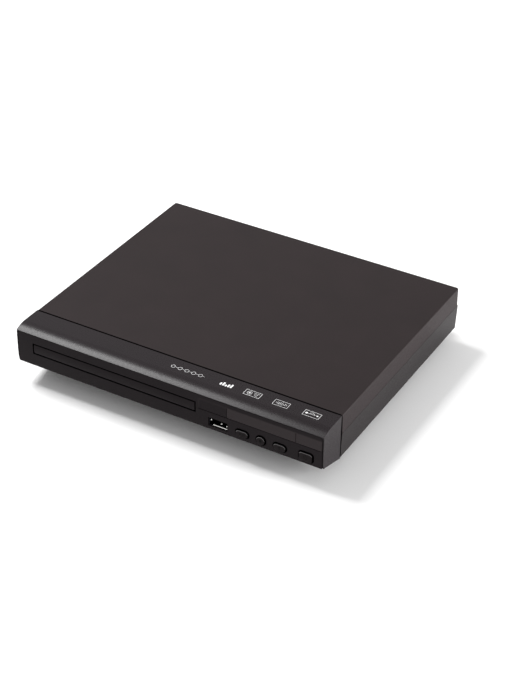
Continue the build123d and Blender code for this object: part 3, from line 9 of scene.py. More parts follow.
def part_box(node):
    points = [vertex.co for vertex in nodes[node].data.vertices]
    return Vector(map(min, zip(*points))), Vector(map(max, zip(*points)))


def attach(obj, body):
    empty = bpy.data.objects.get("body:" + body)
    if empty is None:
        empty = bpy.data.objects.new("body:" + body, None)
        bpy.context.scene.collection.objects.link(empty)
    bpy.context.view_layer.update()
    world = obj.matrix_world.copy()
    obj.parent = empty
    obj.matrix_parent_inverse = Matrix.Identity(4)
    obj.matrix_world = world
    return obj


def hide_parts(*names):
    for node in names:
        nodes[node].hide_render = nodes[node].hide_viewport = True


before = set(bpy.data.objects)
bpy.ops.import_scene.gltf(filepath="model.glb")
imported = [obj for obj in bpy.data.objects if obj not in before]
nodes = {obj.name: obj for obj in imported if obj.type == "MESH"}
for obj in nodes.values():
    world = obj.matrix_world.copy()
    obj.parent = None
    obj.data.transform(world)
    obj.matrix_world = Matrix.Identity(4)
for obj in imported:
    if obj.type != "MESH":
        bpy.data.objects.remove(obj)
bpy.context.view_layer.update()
mm = 0.001
print("frame loaded")

# the camera, solved from the housing's edges: metres, degrees and millimetres of lens
shot = {
    "place": (0.46667, -0.81257, 0.64102),
    "azimuth": 29.35,
    "elevation": 33.94,
    "roll": 1.08,
    "lens": 89.18,
    "sensor": 36,
    "clip": (0.05, 20),
}
# soft boxes in metres and watts: the key draws the bright band along the brow, the fill lights the face and
# the low one the side wall
studio = {
    "worldDiffuse": 0.5,
    "lamps": {
        "key": {"place": (-0.76, -0.02, 1.2), "aim": (-0.02, -0.09, 0.03), "size": (0.5, 0.56), "power": 20},
        "fill": {"place": (0.9, -0.9, 0.7), "aim": (0, 0, 0.02), "size": (0.9, 0.9), "power": 3.4},
        "side": {"place": (1.1, 0.45, 0.16), "aim": (0.1, 0, 0.02), "size": (0.6, 0.3), "power": 19},
    },
    "floorColors": ("#fafafa", "#ffffff"),
    "floorSize": 6.0,
    "floorDrop": 0.0002,
    "floorPatch": 3.0,
}


def makeCamera():
    # the photograph's view, rolled a little
    data = bpy.data.cameras.new("photoCamera")
    data.lens = shot["lens"]
    data.sensor_width = shot["sensor"]
    data.clip_start, data.clip_end = shot["clip"]
    camera = bpy.data.objects.new("photoCamera", data)
    bpy.context.scene.collection.objects.link(camera)
    az, el, roll = (math.radians(shot[k]) for k in ("azimuth", "elevation", "roll"))
    back = Vector((math.sin(az) * math.cos(el), -math.cos(az) * math.cos(el), math.sin(el)))
    right = Vector((math.cos(az), math.sin(az), 0))
    up = back.cross(right)
    tilted = right * math.cos(roll) + up * math.sin(roll)
    upright = up * math.cos(roll) - right * math.sin(roll)
    turn = Matrix((tilted, upright, back)).transposed().to_4x4()
    camera.matrix_world = Matrix.Translation(shot["place"]) @ turn
    bpy.context.scene.camera = camera


def addLamp(name, info):
    # an area lamp that faces its aim, with its first side as near to X as it can lie
    lamp = bpy.data.lights.new(name, "AREA")
    lamp.shape = "RECTANGLE"
    lamp.size, lamp.size_y = info["size"]
    lamp.energy = info["power"]
    holder = bpy.data.objects.new(name, lamp)
    holder.location = info["place"]
    back = (Vector(info["place"]) - Vector(info["aim"])).normalized()
    along = (Vector((1, 0, 0)) - back * back.x).normalized()
    holder.rotation_euler = Matrix((along, back.cross(along), back)).transposed().to_euler()
    bpy.context.scene.collection.objects.link(holder)


def toLinear(code):
    # an sRGB hex colour as linear RGBA
    channels = [int(code[i:i + 2], 16) / 255 for i in (1, 3, 5)]
    return [c / 12.92 if c <= 0.04045 else ((c + 0.055) / 1.055) ** 2.4 for c in channels] + [1.0]


def addNode(tree, kind, settings=None, links=None):
    # settings fill sockets, by name or number, or else the node's own values
    node = tree.nodes.new(kind)
    for key, value in (settings or {}).items():
        if isinstance(key, int) or key in node.inputs:
            node.inputs[key].default_value = value
        else:
            setattr(node, key, value)
    for key, source in (links or {}).items():
        tree.links.new(source, node.inputs[key])
    return node


def makeWorld():
    # the eye and reflections see white, and the light that falls on things is dimmer
    world = bpy.data.worlds.new("studio")
    bpy.context.scene.world = world
    world.use_nodes = True
    tree = world.node_tree
    tree.nodes.clear()
    path = addNode(tree, "ShaderNodeLightPath").outputs
    direct = addNode(tree, "ShaderNodeMath", {"operation": "MAXIMUM"},
                     {0: path["Is Camera Ray"], 1: path["Is Glossy Ray"]})
    seen = addNode(tree, "ShaderNodeMath", {"operation": "MAXIMUM"},
                   {0: direct.outputs[0], 1: path["Is Transmission Ray"]})
    dim = addNode(tree, "ShaderNodeBackground", {"Color": (1, 1, 1, 1), "Strength": studio["worldDiffuse"]})
    white = addNode(tree, "ShaderNodeBackground", {"Color": (1, 1, 1, 1)})
    mix = addNode(tree, "ShaderNodeMixShader",
                  links={0: seen.outputs[0], 1: dim.outputs[0], 2: white.outputs[0]})
    addNode(tree, "ShaderNodeOutputWorld", links={"Surface": mix.outputs[0]})


def startMaterial(name):
    # every pattern reads Object coordinates, so its scale is in real millimetres
    material = bpy.data.materials.new(name)
    material.use_nodes = True
    tree = material.node_tree
    tree.nodes.clear()
    place = addNode(tree, "ShaderNodeTexCoord").outputs["Object"]
    return material, tree, place


def endMaterial(tree, settings, links, bump=None):
    # the shader and output that every finish ends with
    shader = addNode(tree, "ShaderNodeBsdfPrincipled", settings, links)
    if bump:
        tree.links.new(bump.outputs["Normal"], shader.inputs["Normal"])
    addNode(tree, "ShaderNodeOutputMaterial", links={"Surface": shader.outputs[0]})


def mouldedPlastic(name, low, high, grain, depth, roughness, spread, specular=0.5):
    # spark-eroded mould texture: a fine even grain that breaks up the highlight; the real grain of about
    # 0.1 mm is too fine to show, so it is drawn several times as coarse, over cloudy patches 24 mm wide
    material, tree, place = startMaterial(name)
    patch = addNode(tree, "ShaderNodeTexNoise", {"Scale": 1 / (24 * mm), "Detail": 3.0}, {"Vector": place})
    color = addNode(tree, "ShaderNodeValToRGB", links={"Fac": patch.outputs["Fac"]})
    for element, position, code in zip(color.color_ramp.elements, (0.1, 0.9), (low, high)):
        element.position, element.color = position, toLinear(code)
    height = addNode(tree, "ShaderNodeTexNoise", {"Scale": 1 / (grain * mm), "Roughness": 0.6},
                     {"Vector": place}).outputs["Fac"]
    rough = addNode(tree, "ShaderNodeMapRange",
                    {"From Min": 0.3, "From Max": 0.7, "To Min": roughness - spread,
                     "To Max": roughness + spread}, {"Value": height})
    bump = addNode(tree, "ShaderNodeBump", {"Strength": depth, "Distance": grain * 0.25 * mm},
                   {"Height": height})
    endMaterial(tree, {"Specular IOR Level": specular, "IOR": 1.5},
                {"Base Color": color.outputs["Color"], "Roughness": rough.outputs["Result"]}, bump)
    return material


def brushedMetal(name, low, high, roughness, finer=(1, 24, 1), grain=0.5, depth=0.15):
    # rolled sheet, turned bar or casting: faint scratches, or an even grain where it is as fine every way,
    # drawn coarse enough to show
    material, tree, place = startMaterial(name)
    squeeze = addNode(tree, "ShaderNodeMapping", {"Scale": finer}, {"Vector": place})
    height = addNode(tree, "ShaderNodeTexNoise", {"Scale": 1 / (grain * mm), "Detail": 3.0, "Roughness": 0.6},
                     {"Vector": squeeze.outputs["Vector"]}).outputs["Fac"]
    color = addNode(tree, "ShaderNodeValToRGB", links={"Fac": height})
    for element, code in zip(color.color_ramp.elements, (low, high)):
        element.color = toLinear(code)
    rough = addNode(tree, "ShaderNodeMapRange", {"To Min": roughness - 0.08, "To Max": roughness + 0.08},
                    {"Value": height})
    bump = addNode(tree, "ShaderNodeBump", {"Strength": depth, "Distance": 0.02 * mm}, {"Height": height})
    endMaterial(tree, {"Metallic": 1.0},
                {"Base Color": color.outputs["Color"], "Roughness": rough.outputs["Result"]}, bump)
    return material


def boardLacquer(name, low, high, pitch):
    # solder mask over copper: straight tracks show as slightly lighter lines, and small bare pads as dots;
    # pitch is the width of one cell of tracks in millimetres
    material, tree, place = startMaterial(name)
    cells = addNode(tree, "ShaderNodeTexBrick",
                    {"Scale": 1 / (pitch * mm), "Mortar Size": 0.06, "Bias": -0.2, "offset": 0.37,
                     "squash": 2.2, "squash_frequency": 3, "Color1": toLinear(low), "Color2": toLinear(low),
                     "Mortar": toLinear(high)}, {"Vector": place})
    dots = addNode(tree, "ShaderNodeTexVoronoi", {"Scale": 1 / (pitch * 1.4 * mm)}, {"Vector": place})
    via = addNode(tree, "ShaderNodeMath", {"operation": "LESS_THAN", 1: 0.16}, {0: dots.outputs["Distance"]})
    color = addNode(tree, "ShaderNodeMix", {"data_type": "RGBA", "B": toLinear("#b9b6a2")},
                    {"Factor": via.outputs[0], "A": cells.outputs["Color"]})
    bump = addNode(tree, "ShaderNodeBump", {"Strength": 0.3, "Distance": 0.03 * mm},
                   {"Height": cells.outputs["Fac"]})
    endMaterial(tree, {"Roughness": 0.3, "Coat Weight": 0.4, "Coat Roughness": 0.15},
                {"Base Color": color.outputs["Result"]}, bump)
    return material


def softRubber(name, color, grain):
    # moulded rubber: dull with a faint bloom
    material, tree, place = startMaterial(name)
    height = addNode(tree, "ShaderNodeTexNoise", {"Scale": 1 / (grain * mm), "Roughness": 0.6},
                     {"Vector": place}).outputs["Fac"]
    tint = addNode(tree, "ShaderNodeValToRGB", links={"Fac": height})
    tint.color_ramp.elements[0].color = toLinear(color)
    tint.color_ramp.elements[1].color = [c * 1.6 for c in toLinear(color)[:3]] + [1]
    bump = addNode(tree, "ShaderNodeBump", {"Strength": 0.4, "Distance": 0.08 * mm}, {"Height": height})
    endMaterial(tree, {"Roughness": 0.8, "Specular IOR Level": 0.3}, {"Base Color": tint.outputs["Color"]},
                bump)
    return material


def lensGlass(name):
    # coated lens: clear with a blue tint, and a faint 3 mm unevenness in its shine
    material, tree, place = startMaterial(name)
    height = addNode(tree, "ShaderNodeTexNoise", {"Scale": 1 / (3.0 * mm), "Roughness": 0.6},
                     {"Vector": place}).outputs["Fac"]
    rough = addNode(tree, "ShaderNodeMapRange", {"To Min": 0.02, "To Max": 0.06}, {"Value": height})
    endMaterial(tree, {"Base Color": toLinear("#8fa9d8"), "Transmission Weight": 0.8, "IOR": 1.52},
                {"Roughness": rough.outputs["Result"]})
    return material


# CAD nodes of the finish, two sRGB tones, grain in mm, bump, roughness and its spread, specular level
plastics = {
    # warm black ABS, spark-eroded: an even satin without a mirror image
    "grainedCoverAbs": ("top_cover", "#1c1516", "#221a1b", 0.75, 0.3, 0.5, 0.06, 0.12),
    "grainedBaseAbs": ("bottom_case", "#161213", "#1c1718", 0.75, 0.3, 0.48, 0.06, 0.15),
    # sprayed satin lacquer on ABS: smoother, so that the brow draws one long soft highlight
    "sprayedFasciaAbs": ("fascia_shell", "#11090d", "#160e12", 0.7, 0.16, 0.29, 0.04, 0.165),
    # fine satin ABS of the face and buttons: nearly no shine; a pale colour on the top edge of each button is
    # a painted highlight, and a near-black one on its walls is painted shade
    "satinPanelAbs": ("front_panel tray_door", "#161113", "#1a1517", 0.9, 0.12, 0.36, 0.04, 0.06),
    "satinButtonAbs": ("button_play button_stop button_open button_power",
                       "#171314", "#1b1617", 0.6, 0.1, 0.34, 0.04, 0.05),
    # pale colour of the up-facing edge of each button head: painted highlight
    "buttonEdgePaintedHighlight": ("", "#4a4748", "#535051", 0.6, 0.05, 0.3, 0.04, 0.4),
    # near-black colour of the walls and slope of each button head: painted shade
    "buttonWallPaintedShade": ("", "#020202", "#040404", 0.6, 0.05, 0.7, 0.04, 0.0),
    # smoked acrylic over a dark board: smooth, and a little lighter than the face
    "smokedAcrylic": ("display_window ir_window", "#221b1d", "#261f20", 2.5, 0.03, 0.2, 0.03, 0.12),
    # black ABS of the mechanism and moulded epoxy of the chips: a greyer, duller sheen
    "trayAbs": ("disc_tray", "#1b1b1c", "#202021", 0.8, 0.25, 0.42, 0.06, 0.45),
    "mechanismAbs": ("loader_frame traverse_holder", "#1c1c1e", "#242427", 1.0, 0.25, 0.42, 0.08, 0.45),
    "chipResin": ("main_chips tact_switches ir_receiver tray_switch usb_tongue",
                  "#1b1b1d", "#232326", 0.5, 0.3, 0.5, 0.06, 0.4),
    # natural nylon, acetal and white ABS: waxy off-white with a soft shine
    "whiteNylon": ("cam_slider board_connectors clamp_puck", "#d8d5ca", "#e3e0d6", 0.8, 0.15, 0.42, 0.06),
    "ivoryAcetal": ("drive_gear idler_gear pulley_gear motor_pulley",
                    "#dcd6c4", "#e6e1d1", 0.9, 0.1, 0.3, 0.05),
    "displayWhite": ("display_module", "#cfcfcf", "#dadada", 1.0, 0.1, 0.5, 0.05),
    # flat inks, and a flat black put in gaps and seams as painted shade: no shine, deep black or bright white
    "darkPrintInk": ("", "#030303", "#060606", 0.4, 0.2, 0.6, 0.05, 0.05),
    # near-black sheet in the gaps round the tray door and in the fascia seam: painted shade
    "paintedGapShade": ("", "#010101", "#030303", 0.5, 0.8, 0.9, 0.05, 0.0),
    "paleScreenInk": ("", "#f0f0f0", "#ffffff", 0.4, 0.3, 0.55, 0.05),
    # shrunk sleeve, tape and dipped resin of the parts on the boards: smooth and shiny
    "capacitorSleeve": ("capacitors", "#15203e", "#1c2a50", 3.0, 0.05, 0.3, 0.05),
    "windingTape": ("transformer", "#c49a2c", "#d2ab3e", 2.0, 0.1, 0.35, 0.05),
    "filmResin": ("power_parts", "#5d2716", "#6e3120", 1.5, 0.1, 0.35, 0.05),
    # coloured nylon of the jacks, and the films, cables and inlet: plain moulded gloss
    "yellowNylon": ("rca_jack_yellow", "#d9a514", "#e3b22a", 1.0, 0.1, 0.35, 0.05),
    "whiteJackNylon": ("rca_jack_white", "#dcdad2", "#e6e4de", 1.0, 0.1, 0.35, 0.05),
    "redNylon": ("rca_jack_red", "#9d1512", "#ad2420", 1.0, 0.1, 0.35, 0.05),
    "ribbonFilm": ("front_ribbon mechanism_ribbon", "#c8c8c4", "#d6d6d2", 1.0, 0.1, 0.4, 0.05),
    "cableVinyl": ("power_cable", "#a4a4a4", "#b0b0b0", 1.0, 0.1, 0.45, 0.05),
    "inletNylon": ("mains_inlet", "#1a1a1a", "#202020", 0.8, 0.2, 0.4, 0.05),
    "turntablePlastic": ("turntable", "#1f1f21", "#262629", 0.8, 0.15, 0.35, 0.05),
}
# nodes, tones, roughness, how many times finer the grain is along X, Y and Z, grain in mm, bump
metals = {
    # zinc, nickel and tin on steel, cast and extruded aluminium: faint scratches, brighter where plated
    "zincPlatedSheet": ("clamp_bridge traverse_plate", "#8d9096", "#a3a6ab", 0.34),
    "zincPlatedScrews": ("case_screws chassis_screws holder_screws",
                         "#8a8c90", "#a8aaae", 0.3, (1, 1, 1), 0.4, 0.2),
    "nickelPlatedSteel": ("hdmi_socket rca_sleeves", "#b4b4b2", "#c9c9c6", 0.2, (1, 6, 1), 0.8, 0.08),
    "brightTinPlate": ("", "#e9e8e3", "#f7f6f2", 0.14, (1, 1, 1), 0.5, 0.04),
    # dark steel of the USB socket and its spring strips: painted shade inside the socket's mouth
    "socketSteelPaintedShade": ("usb_socket", "#26262a", "#333338", 0.4, (1, 6, 1), 0.6, 0.1),
    "groundSteel": ("guide_rods lead_screw", "#b9bcc0", "#d0d2d5", 0.16, (12, 1, 12), 0.5, 0.08),
    "motorCanSteel": ("loading_motor spindle_motor sled_motor",
                      "#9a9ca0", "#b0b2b6", 0.3, (1, 1, 10), 0.6, 0.1),
    "castAluminium": ("pickup_sled", "#9b9d9f", "#b2b4b6", 0.42, (1, 1, 1), 0.7, 0.35),
    "extrudedAluminium": ("soc_heatsink", "#a9acb0", "#bfc2c6", 0.34, (1, 1, 14), 0.6, 0.12),
}
# nodes, tones, width of a cell of tracks in mm
boards = {
    # bare brown laminate and green solder mask: glossy lacquer over lighter tracks
    "brownLaminate": ("power_board", "#80602f", "#9b7a43", 4.0),
    "greenSolderMask": ("main_board front_board", "#0e4a26", "#1c6a38", 2.6),
}
# nodes, tone, grain in mm
rubbers = {
    "footRubber": ("rubber_feet damper_grommets", "#1a1a1a", 0.6),
    "beltRubber": ("drive_belt", "#141414", 0.4),
}
lenses = {"coatedLensGlass": ("objective_lens",)}
finishes = {}


def dressNodes(makeFinish, table):
    # makes the finishes of a table and gives each CAD node its own
    for finish, (names, *values) in table.items():
        finishes[finish] = makeFinish(finish, *values)
        for name in names.split():
            mesh = nodes[name].data
            mesh.materials.clear()
            mesh.materials.append(finishes[finish])
            for polygon in mesh.polygons:
                polygon.material_index = 0


def makeFloor():
    # matt painted floor: pale, with a barely visible cloudiness
    mesh = bpy.data.meshes.new("studioFloor")
    form = bmesh.new()
    bmesh.ops.create_grid(form, x_segments=1, y_segments=1, size=studio["floorSize"])
    form.to_mesh(mesh)
    form.free()
    floor = bpy.data.objects.new("studioFloor", mesh)
    floor.location.z = -studio["floorDrop"]
    bpy.context.scene.collection.objects.link(floor)
    material, tree, place = startMaterial("paleFloor")
    patch = addNode(tree, "ShaderNodeTexNoise", {"Scale": studio["floorPatch"]}, {"Vector": place})
    tint = addNode(tree, "ShaderNodeValToRGB", links={"Fac": patch.outputs["Fac"]})
    for element, code in zip(tint.color_ramp.elements, studio["floorColors"]):
        element.color = toLinear(code)
    endMaterial(tree, {"Roughness": 0.9, "Specular IOR Level": 0.1}, {"Base Color": tint.outputs["Color"]})
    mesh.materials.append(material)


# an edge sharper than this many degrees stays sharp, and points closer than these metres become one, in a
# whole piece and in a turned one
meshing = {"sharp": 34, "merge": 1e-6, "closer": 1e-7}


def finishPiece(name, form, finish, body, smooth=True):
    # a form made an object that rides its body, with its finish
    mesh = bpy.data.meshes.new(name)
    bmesh.ops.remove_doubles(form, verts=form.verts, dist=meshing["merge"])
    bmesh.ops.recalc_face_normals(form, faces=form.faces)
    for face in form.faces:
        face.smooth = smooth
    form.to_mesh(mesh)
    form.free()
    if smooth:
        mesh.set_sharp_from_angle(angle=math.radians(meshing["sharp"]))
    piece = bpy.data.objects.new(name, mesh)
    bpy.context.scene.collection.objects.link(piece)
    mesh.materials.append(finishes[finish])
    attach(piece, body)
    return piece


def addBar(form, center, size, turn=0.0):
    # a flat bar in millimetres, turned about Z by radians
    made = bmesh.ops.create_cube(form, size=1.0)["verts"]
    bmesh.ops.scale(form, vec=[s * mm for s in size], verts=made)
    bmesh.ops.rotate(form, matrix=Matrix.Rotation(turn, 3, "Z"), verts=made)
    bmesh.ops.translate(form, vec=[c * mm for c in center], verts=made)


def addDisc(form, center, outer, inner, thick, segments, start=0.0, sweep=360.0):
    # a flat ring or an arc of one in millimetres, lying on XY
    low, high = center[2] - thick / 2, center[2] + thick / 2
    a = math.radians(start)
    corners = []
    for radius, z in ((inner, low), (outer, low), (outer, high), (inner, high)):
        corners.append(form.verts.new([v * mm for v in (center[0] + radius * math.cos(a),
                                                        center[1] + radius * math.sin(a), z)]))
    profile = [form.edges.new((corners[i], corners[(i + 1) % 4])) for i in range(4)]
    full = sweep >= 360.0
    if not full:
        form.faces.new(corners)
    made = bmesh.ops.spin(form, geom=profile, cent=[c * mm for c in center], axis=(0, 0, 1),
                          angle=math.radians(sweep), steps=segments, use_merge=full)
    if not full:
        rim = [g for g in made["geom_last"] if isinstance(g, bmesh.types.BMEdge)]
        bmesh.ops.contextual_create(form, geom=rim)


def addTurned(form, outline, steps):
    # a turned body about Z from points of (radius, height) in millimetres
    corners = [form.verts.new((radius * mm, 0, height * mm)) for radius, height in outline]
    profile = [form.edges.new(pair) for pair in zip(corners, corners[1:])]
    bmesh.ops.spin(form, geom=corners + profile, axis=(0, 0, 1), angle=math.tau, steps=steps,
                   use_merge=True)
    bmesh.ops.remove_doubles(form, verts=form.verts, dist=meshing["closer"])


def addBlock(form, low, high):
    # an upright block between two corners in metres
    made = bmesh.ops.create_cube(form, size=1.0)["verts"]
    bmesh.ops.scale(form, vec=[b - a for a, b in zip(low, high)], verts=made)
    bmesh.ops.translate(form, vec=[(a + b) / 2 for a, b in zip(low, high)], verts=made)


def addCopy(form, unit, place):
    # a copy of a small form set in place by a matrix; this uses it up
    mesh = bpy.data.meshes.new("unit")
    bmesh.ops.transform(unit, matrix=place, verts=unit.verts)
    unit.to_mesh(mesh)
    unit.free()
    form.from_mesh(mesh)
    bpy.data.meshes.remove(mesh)


def solidCorners(name):
    # the corners of each separate solid of a CAD node
    form = bmesh.new()
    form.from_mesh(nodes[name].data)
    bmesh.ops.remove_doubles(form, verts=form.verts, dist=meshing["merge"])
    seen, solids = set(), []
    for first in form.verts:
        if first in seen:
            continue
        seen.add(first)
        batch, corners = [first], []
        while batch:
            vert = batch.pop()
            corners.append(vert.co.copy())
            for edge in vert.link_edges:
                other = edge.other_vert(vert)
                if other not in seen:
                    seen.add(other)
                    batch.append(other)
        solids.append(corners)
    form.free()
    return solids


def cornerBox(corners):
    # the lowest and highest corner round a set of points
    low = Vector([min(c[i] for c in corners) for i in range(3)])
    high = Vector([max(c[i] for c in corners) for i in range(3)])
    return low, high


# millimetres; a ring without an inner radius is one line wide
fasciaMarks = {
    "top": 42.0,
    "middle": -85.0,  # Y of the row of marks
    "thick": 0.03,
    "line": 0.18,
    "chain": (-2.0, 4.9, 5, 1.45),  # first X, step, count and radius of the open rings
    "link": (2.5, 1.1),  # place after each ring, and length
    "levels": (32.6, 1.8, 1.1, -1.8),  # first X, step, width and foot of the level bars
    "levelHeights": (2.2, 3.3, 1.7, 2.8, 3.6),
    "frames": ((49.2, 60.0), (69.4, 79.4), (89.8, 100.6)),
    "frameDepth": 5.2,
    # X, outer and inner radius, segments and sweep
    "rings": ((52.4, 1.6, None, 24, 360.0), (52.4, 0.6, 0.25, 16, 360.0), (91.6, 0.8, 0.1, 16, 360.0),
              (98.9, 0.6, 0.1, 16, 360.0), (95.2, 1.6, None, 16, 180.0)),
    "strokes": ((57.0, 1.2, 3.8), (57.0, 0.0, 2.9), (57.0, -1.2, 2.0), (95.2, 0.0, 7.0)),  # X, rise, length
    "waveStart": 70.9,
    "waveHeights": (0.9, 1.9, 3.0, 2.3, 3.2, 1.7, 2.6, 1.0),
}


def makeFasciaMarks():
    # generic pictures in pale ink: a chain, level bars, a disc, waves and a plug, no words
    z, y, thick, line = (fasciaMarks[k] for k in ("top", "middle", "thick", "line"))
    half = fasciaMarks["frameDepth"] / 2
    form = bmesh.new()
    x0, step, count, radius = fasciaMarks["chain"]
    for number in range(count):
        x = x0 + number * step
        addDisc(form, (x, y, z), radius, radius - line, thick, 20)
        addBar(form, (x + fasciaMarks["link"][0], y, z), (fasciaMarks["link"][1], line, thick))
    x0, step, wide, foot = fasciaMarks["levels"]
    for number, height in enumerate(fasciaMarks["levelHeights"]):
        addBar(form, (x0 + number * step, y + foot + height / 2, z), (wide, height, thick))
    for x0, x1 in fasciaMarks["frames"]:
        for x in (x0, x1):
            addBar(form, (x, y, z), (line, half * 2, thick))
        for side in (-1, 1):
            addBar(form, ((x0 + x1) / 2, y + side * half, z), (x1 - x0 + line, line, thick))
    for x, outer, inner, segments, sweep in fasciaMarks["rings"]:
        addDisc(form, (x, y, z), outer, inner or outer - line, thick, segments, 0.0, sweep)
    for x, rise, length in fasciaMarks["strokes"]:
        addBar(form, (x, y + rise, z), (length, line, thick))
    for number, height in enumerate(fasciaMarks["waveHeights"]):
        addBar(form, (fasciaMarks["waveStart"] + number, y, z), (line, height, thick))
    finishPiece("fasciaMarks", form, "paleScreenInk", "housing", False)


buttonParts = {
    "flange": 1.2,  # the flange stands out this far round the head
    "headDeep": 4.8,
    "flangePlace": 4.7,
    "flangeThick": 0.8,
    "stem": 3.0,
    "slope": 0.55,  # slope round the face, coloured near black as painted shade
    "edge": 0.2,  # edge between the slope and the face, coloured pale as a painted highlight where it faces up
    # a normal's Y tells the walls and slope, which get painted shade, from the edge, and that from the flat
    # face; the edge gets the painted highlight only where it faces up
    "slopeFacing": -0.72,
    "flatFacing": -0.99,
    "upFacing": 0.1,
    "corners": {"button_play": 2.55, "button_stop": 3.1, "button_open": 2.55, "button_power": 2.0},
}


def makeButtons():
    # heads whose walls and slope are coloured near black as painted shade, and whose edge is coloured pale
    # along the top as a painted highlight
    for name, corner in buttonParts["corners"].items():
        low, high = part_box(name)
        middle = (low + high) / 2
        half = (high - low) / 2 - Vector((1, 0, 1)) * buttonParts["flange"] * mm
        form = bmesh.new()
        addBlock(form, (middle.x - half.x, low.y, middle.z - half.z),
                 (middle.x + half.x, low.y + buttonParts["headDeep"] * mm, middle.z + half.z))
        along = [edge for edge in form.edges if abs(edge.verts[0].co.y - edge.verts[1].co.y) > mm]
        bmesh.ops.bevel(form, geom=along, offset=corner * mm, affect="EDGES",
                        segments=12, profile=0.5, material=-1)
        for size, steps in ((buttonParts["slope"], 1), (buttonParts["edge"], 3)):
            rim = [edge for edge in form.edges if all(vert.co.y < low.y + 0.01 * mm for vert in edge.verts)]
            bmesh.ops.bevel(form, geom=rim, offset=size * mm, affect="EDGES",
                            segments=steps, profile=0.5, material=-1)
        form.normal_update()
        # slot 2 is the painted shade of the walls and slope, and slot 1 the painted highlight of the
        # up-facing edge
        for face in form.faces:
            if face.normal.y > buttonParts["slopeFacing"]:
                face.material_index = 2
            elif face.normal.y > buttonParts["flatFacing"] and face.normal.z > buttonParts["upFacing"]:
                face.material_index = 1
        rear = low.y + buttonParts["flangePlace"] * mm
        addBlock(form, (low.x, rear, low.z), (high.x, rear + buttonParts["flangeThick"] * mm, high.z))
        stem = buttonParts["stem"] / 2 * mm
        addBlock(form, (middle.x - stem, rear, middle.z - stem), (middle.x + stem, high.y, middle.z + stem))
        title = name.replace("_", "Head") + "Finished"
        piece = finishPiece(title, form, "satinButtonAbs", name)
        for finish in ("buttonEdgePaintedHighlight", "buttonWallPaintedShade"):
            piece.data.materials.append(finishes[finish])
        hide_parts(name)


# millimetres to the right of the middle of the face and up from it
buttonSigns = {
    "thick": 0.06,
    "sink": 0.02,  # the ink's middle lies this deep behind the face
    # place and size of each bar
    "bars": {
        "button_play": ((0.8, 0, 0.4, 1.5), (1.7, 0, 0.4, 1.5)),
        "button_stop": ((0, 0, 1.7, 1.7),),
        "button_open": ((0, -0.8, 1.7, 0.34),),
        "button_power": ((0, 1.0, 0.34, 1.5),),
    },
    # place, radius and turn of each triangle
    "triangles": {"button_play": (-1.1, 0, 0.9, 0), "button_open": (0, 0.3, 0.95, 90)},
    # outer and inner radius of each open ring, and its gap in degrees
    "rings": {"button_power": (1.4, 1.06, 70.0)},
}


def addTriangle(form, center, radius, thick, turn):
    # a flat triangle in millimetres, turned about Z by degrees
    place = Matrix.Translation([c * mm for c in center]) @ Matrix.Rotation(math.radians(turn), 4, "Z")
    bmesh.ops.create_cone(form, cap_ends=True, segments=3, radius1=radius * mm, radius2=radius * mm,
                          depth=thick * mm, matrix=place)


def makeButtonSigns():
    # dark printed signs: play and pause, stop, open, power
    thick = buttonSigns["thick"]
    for name, bars in buttonSigns["bars"].items():
        low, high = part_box(name)
        form = bmesh.new()
        if name in buttonSigns["triangles"]:
            x, y, radius, turn = buttonSigns["triangles"][name]
            addTriangle(form, (x, y, 0), radius, thick, turn)
        if name in buttonSigns["rings"]:
            outer, inner, gap = buttonSigns["rings"][name]
            addDisc(form, (0, 0, 0), outer, inner, thick, 30, 90 + gap / 2, 360 - gap)
        for x, y, wide, tall in bars:
            addBar(form, (x, y, 0), (wide, tall, thick))
        upright = Matrix.Rotation(math.radians(90), 3, "X")
        bmesh.ops.rotate(form, matrix=upright, verts=form.verts)
        place = ((low.x + high.x) / 2, low.y + buttonSigns["sink"] * mm, (low.z + high.z) / 2)
        bmesh.ops.translate(form, vec=place, verts=form.verts)
        finishPiece(name.replace("_", "Sign"), form, "darkPrintInk", name, False)


usbParts = {
    "lip": (0.22, 0.97, 0.3, 0.4),  # start and end as shares of the width, rise and depth
    "lipRise": 0.75,
    "lipOut": 0.1,
    "lipBend": 0.25,
    "lipLap": 0.1,  # the back of the lip reaches this far up behind it
    # share of the width, depth, rise and radii of each bright dimple
    "dimples": ((0.08, 0.9, 2.7, (0.4, 0.4, 0.75)), (0.58, 2.2, 1.1, (0.75, 0.6, 0.5)),
                (0.93, 0.8, 1.7, (0.5, 0.45, 0.45))),
    "shares": (0.3, 0.8),  # a dimple before the first share is on the left wall, past the second on the right
    "wall": 0.2,
    "sideStrip": (0.5, 0.3, 0.25),  # half heights at the left and the right, and thickness
    "floorStrip": (0.7, 3.2),  # half width and depth
    "contacts": 4,
    "contactPitch": 2.3,
    "contactWide": 1.1,
    "contactDepths": (1.0, 7.4),
    "contactDrops": (0.12, 0.01),  # the lower and upper face of a contact under the tongue
}


def makeUsbSprings(low, high, base):
    # a bright folded lip at the mouth, and a sprung dimple in each wall
    wide = high.x - low.x
    start, end, tall, deep = usbParts["lip"]
    left, right, foot = low.x + start * wide, low.x + end * wide, low.z + usbParts["wall"] * mm
    form = bmesh.new()
    addBlock(form, (left, low.y - usbParts["lipOut"] * mm, base),
             (right, low.y + deep * mm, base + tall * mm))
    edges = [edge for edge in form.edges
             if all(v.co.y < low.y and v.co.z > base + 0.01 * mm for v in edge.verts)]
    bmesh.ops.bevel(form, geom=edges, offset=usbParts["lipBend"] * mm, affect="EDGES",
                    segments=3, profile=0.5, material=-1)
    addBlock(form, (left, low.y + deep * 0.5 * mm, foot),
             (right, low.y + deep * mm, base + usbParts["lipLap"] * mm))
    for share, inward, rise, radii in usbParts["dimples"]:
        made = bmesh.ops.create_uvsphere(form, u_segments=18, v_segments=12, radius=1.0)["verts"]
        bmesh.ops.scale(form, vec=[r * mm for r in radii], verts=made)
        center = Vector((low.x + share * wide, low.y + inward * mm, base + rise * mm))
        bmesh.ops.translate(form, vec=center, verts=made)
    finishPiece("usbSprings", form, "brightTinPlate", "housing")


